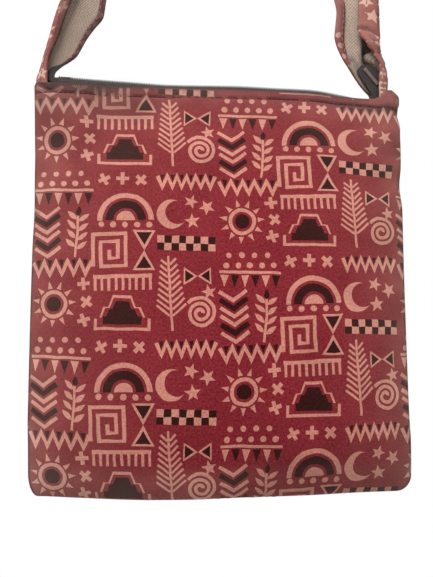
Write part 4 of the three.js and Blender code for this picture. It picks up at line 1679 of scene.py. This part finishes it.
def makeSlider():
    x, top = slider["side"], chainTop(slider["side"]) - slider["sunk"]
    wide, wall, drop = slider["pullWidth"], slider["pullWall"], slider["pullDrop"]
    size = (slider["length"], slider["width"], slider["height"])
    body = shapedBlock(size, (x, 0, top - slider["height"] / 2), slider["round"])
    # the body narrows towards the closed end of the zip
    bpy.ops.object.mode_set(mode="EDIT")
    bpy.ops.mesh.select_all(action="DESELECT")
    bpy.ops.object.mode_set(mode="OBJECT")
    for vertex in body.data.vertices:
        vertex.select = vertex.co.x < (x - 2) * mm
    bpy.ops.object.mode_set(mode="EDIT")
    bpy.ops.transform.resize(value=(1, slider["narrowed"], 1), center_override=(x * mm, 0, top * mm))
    bpy.ops.object.mode_set(mode="OBJECT")
    # the bridge that the pull hangs on
    bpy.ops.object.select_all(action="DESELECT")
    bpy.ops.mesh.primitive_torus_add(
        major_segments=20,
        minor_segments=8,
        major_radius=slider["bridgeRadius"] * mm,
        minor_radius=slider["bridgeWire"] * mm,
        location=Vector((x, slider["bridgeOut"], top - slider["bridgeDrop"])) * mm,
        rotation=(slider["bridgeLean"], 0, 0),
    )
    bridge = bpy.context.active_object
    bpy.ops.object.transform_apply(location=True, rotation=True, scale=True)
    # the pull: a rounded plate over the back hem, bent down, with a hole at its foot
    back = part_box("zip_slider")[1][1] / mm
    lug = shapedBlock((wide, back - 3, wall), (x, back / 2 + 1.2, top - 0.2), slider["pullRound"])
    plate = shapedBlock((wide, wall, drop), (x, back - wall / 2, top + 0.3 - drop / 2), slider["pullRound"])
    bpy.ops.object.select_all(action="DESELECT")
    bpy.ops.mesh.primitive_cylinder_add(
        vertices=20,
        radius=slider["holeRadius"] * mm,
        depth=6 * mm,
        location=Vector((x, back - 0.5, top + slider["holeRise"] - drop)) * mm,
        rotation=(math.pi / 2, 0, 0),
    )
    drill = bpy.context.active_object
    hole = plate.modifiers.new("hole", "BOOLEAN")
    hole.operation = "DIFFERENCE"
    hole.object = drill
    selectOnly(plate)
    bpy.ops.object.modifier_apply(modifier=hole.name)
    bpy.data.objects.remove(drill)
    selectOnly(body, bridge, lug, plate)
    bpy.ops.object.join()
    body.name = "zip_slider_cast"
    bpy.ops.object.shade_smooth_by_angle(angle=math.radians(35))
    body.data.materials.clear()
    body.data.materials.append(sliderMaterial)
    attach(body, "root")
    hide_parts("zip_slider")
    print("stage: slider made")


makeSlider()

# The stage: a pale floor, soft light, and the camera where the photo was taken from.
camera = {
    "focal": 520,
    "frameHeight": 577,
    "sensor": 36,
    "place": (-20.0, -332.0, 106.0),
    "yaw": 3.0,
    "pitch": 3.7,
    "roll": -0.19,
}
studio = {
    "ambient": 0.3,
    "aim": 130,
    "floorDrop": 850,
    "floorRadius": 1.64,
    "lamps": (
        ("key_light", (-0.3, -0.6, 0.4), 0.8, 24.5),
        ("fill_light", (0.8, -1.2, -0.3), 0.9, 2.6),
        ("back_light", (0.5, 1.3, 0.1), 1.1, 15.0),
    ),
}


def makeStage():
    bpy.ops.object.select_all(action="DESELECT")
    level = (pouchFoot - studio["floorDrop"]) * mm
    bpy.ops.mesh.primitive_circle_add(
        vertices=96, radius=studio["floorRadius"], fill_type="NGON", location=(0, 0, level)
    )
    floor = bpy.context.active_object
    floor.name = "pale_floor"
    # matt white paper, with a little light of its own so that it stays pale all over
    material, tree = newMaterial("matt_white_paper")
    paper = {
        "Base Color": linear("#F4F3F1"),
        "Roughness": 0.95,
        "Emission Color": linear("#FFFFFF"),
        "Emission Strength": 0.1,
    }
    shader = addNode(tree, "BsdfPrincipled", paper)[0]
    addNode(tree, "OutputMaterial", {"Surface": shader})
    floor.data.materials.append(material)
    # a white surround for the eye, with a softer share of it falling on the bag
    world = bpy.data.worlds.new("white_studio")
    bpy.context.scene.world = world
    world.use_nodes = True
    tree = world.node_tree
    tree.nodes.clear()
    seen = addNode(tree, "LightPath")["Is Camera Ray"]
    white = linear("#FFFFFF")
    soft = addNode(tree, "Background", {"Color": white, "Strength": studio["ambient"]})[0]
    bright = addNode(tree, "Background", {"Color": white, "Strength": 1.0})[0]
    both = addNode(tree, "MixShader", {0: seen, 1: soft, 2: bright})[0]
    addNode(tree, "OutputWorld", {"Surface": both})
    for name, place, size, power in studio["lamps"]:
        light = bpy.data.lights.new(name, "AREA")
        light.size = size
        light.energy = power
        lamp = addObject(name, light)
        lamp.location = place
        aim = Vector((0, 0, (pouchFoot + studio["aim"]) * mm)) - lamp.location
        lamp.rotation_euler = aim.to_track_quat("-Z", "Y").to_euler()


def makeCamera():
    lens = bpy.data.cameras.new("photo_camera")
    lens.sensor_width = camera["sensor"]
    lens.lens = camera["focal"] / camera["frameHeight"] * camera["sensor"]
    eye = addObject("photo_camera", lens)
    x, y, z = camera["place"]
    eye.location = (x * mm, y * mm, (pouchFoot + z) * mm)
    turn = Matrix.Rotation(math.radians(-camera["yaw"]), 4, "Z")
    tilt = Matrix.Rotation(math.radians(90 + camera["pitch"]), 4, "X")
    roll = Matrix.Rotation(math.radians(camera["roll"]), 4, "Z")
    eye.rotation_euler = (turn @ tilt @ roll).to_euler()
    bpy.context.scene.camera = eye


makeStage()
makeCamera()
bpy.context.scene.view_settings.view_transform = "Standard"
print("stage: floor, light and camera set")
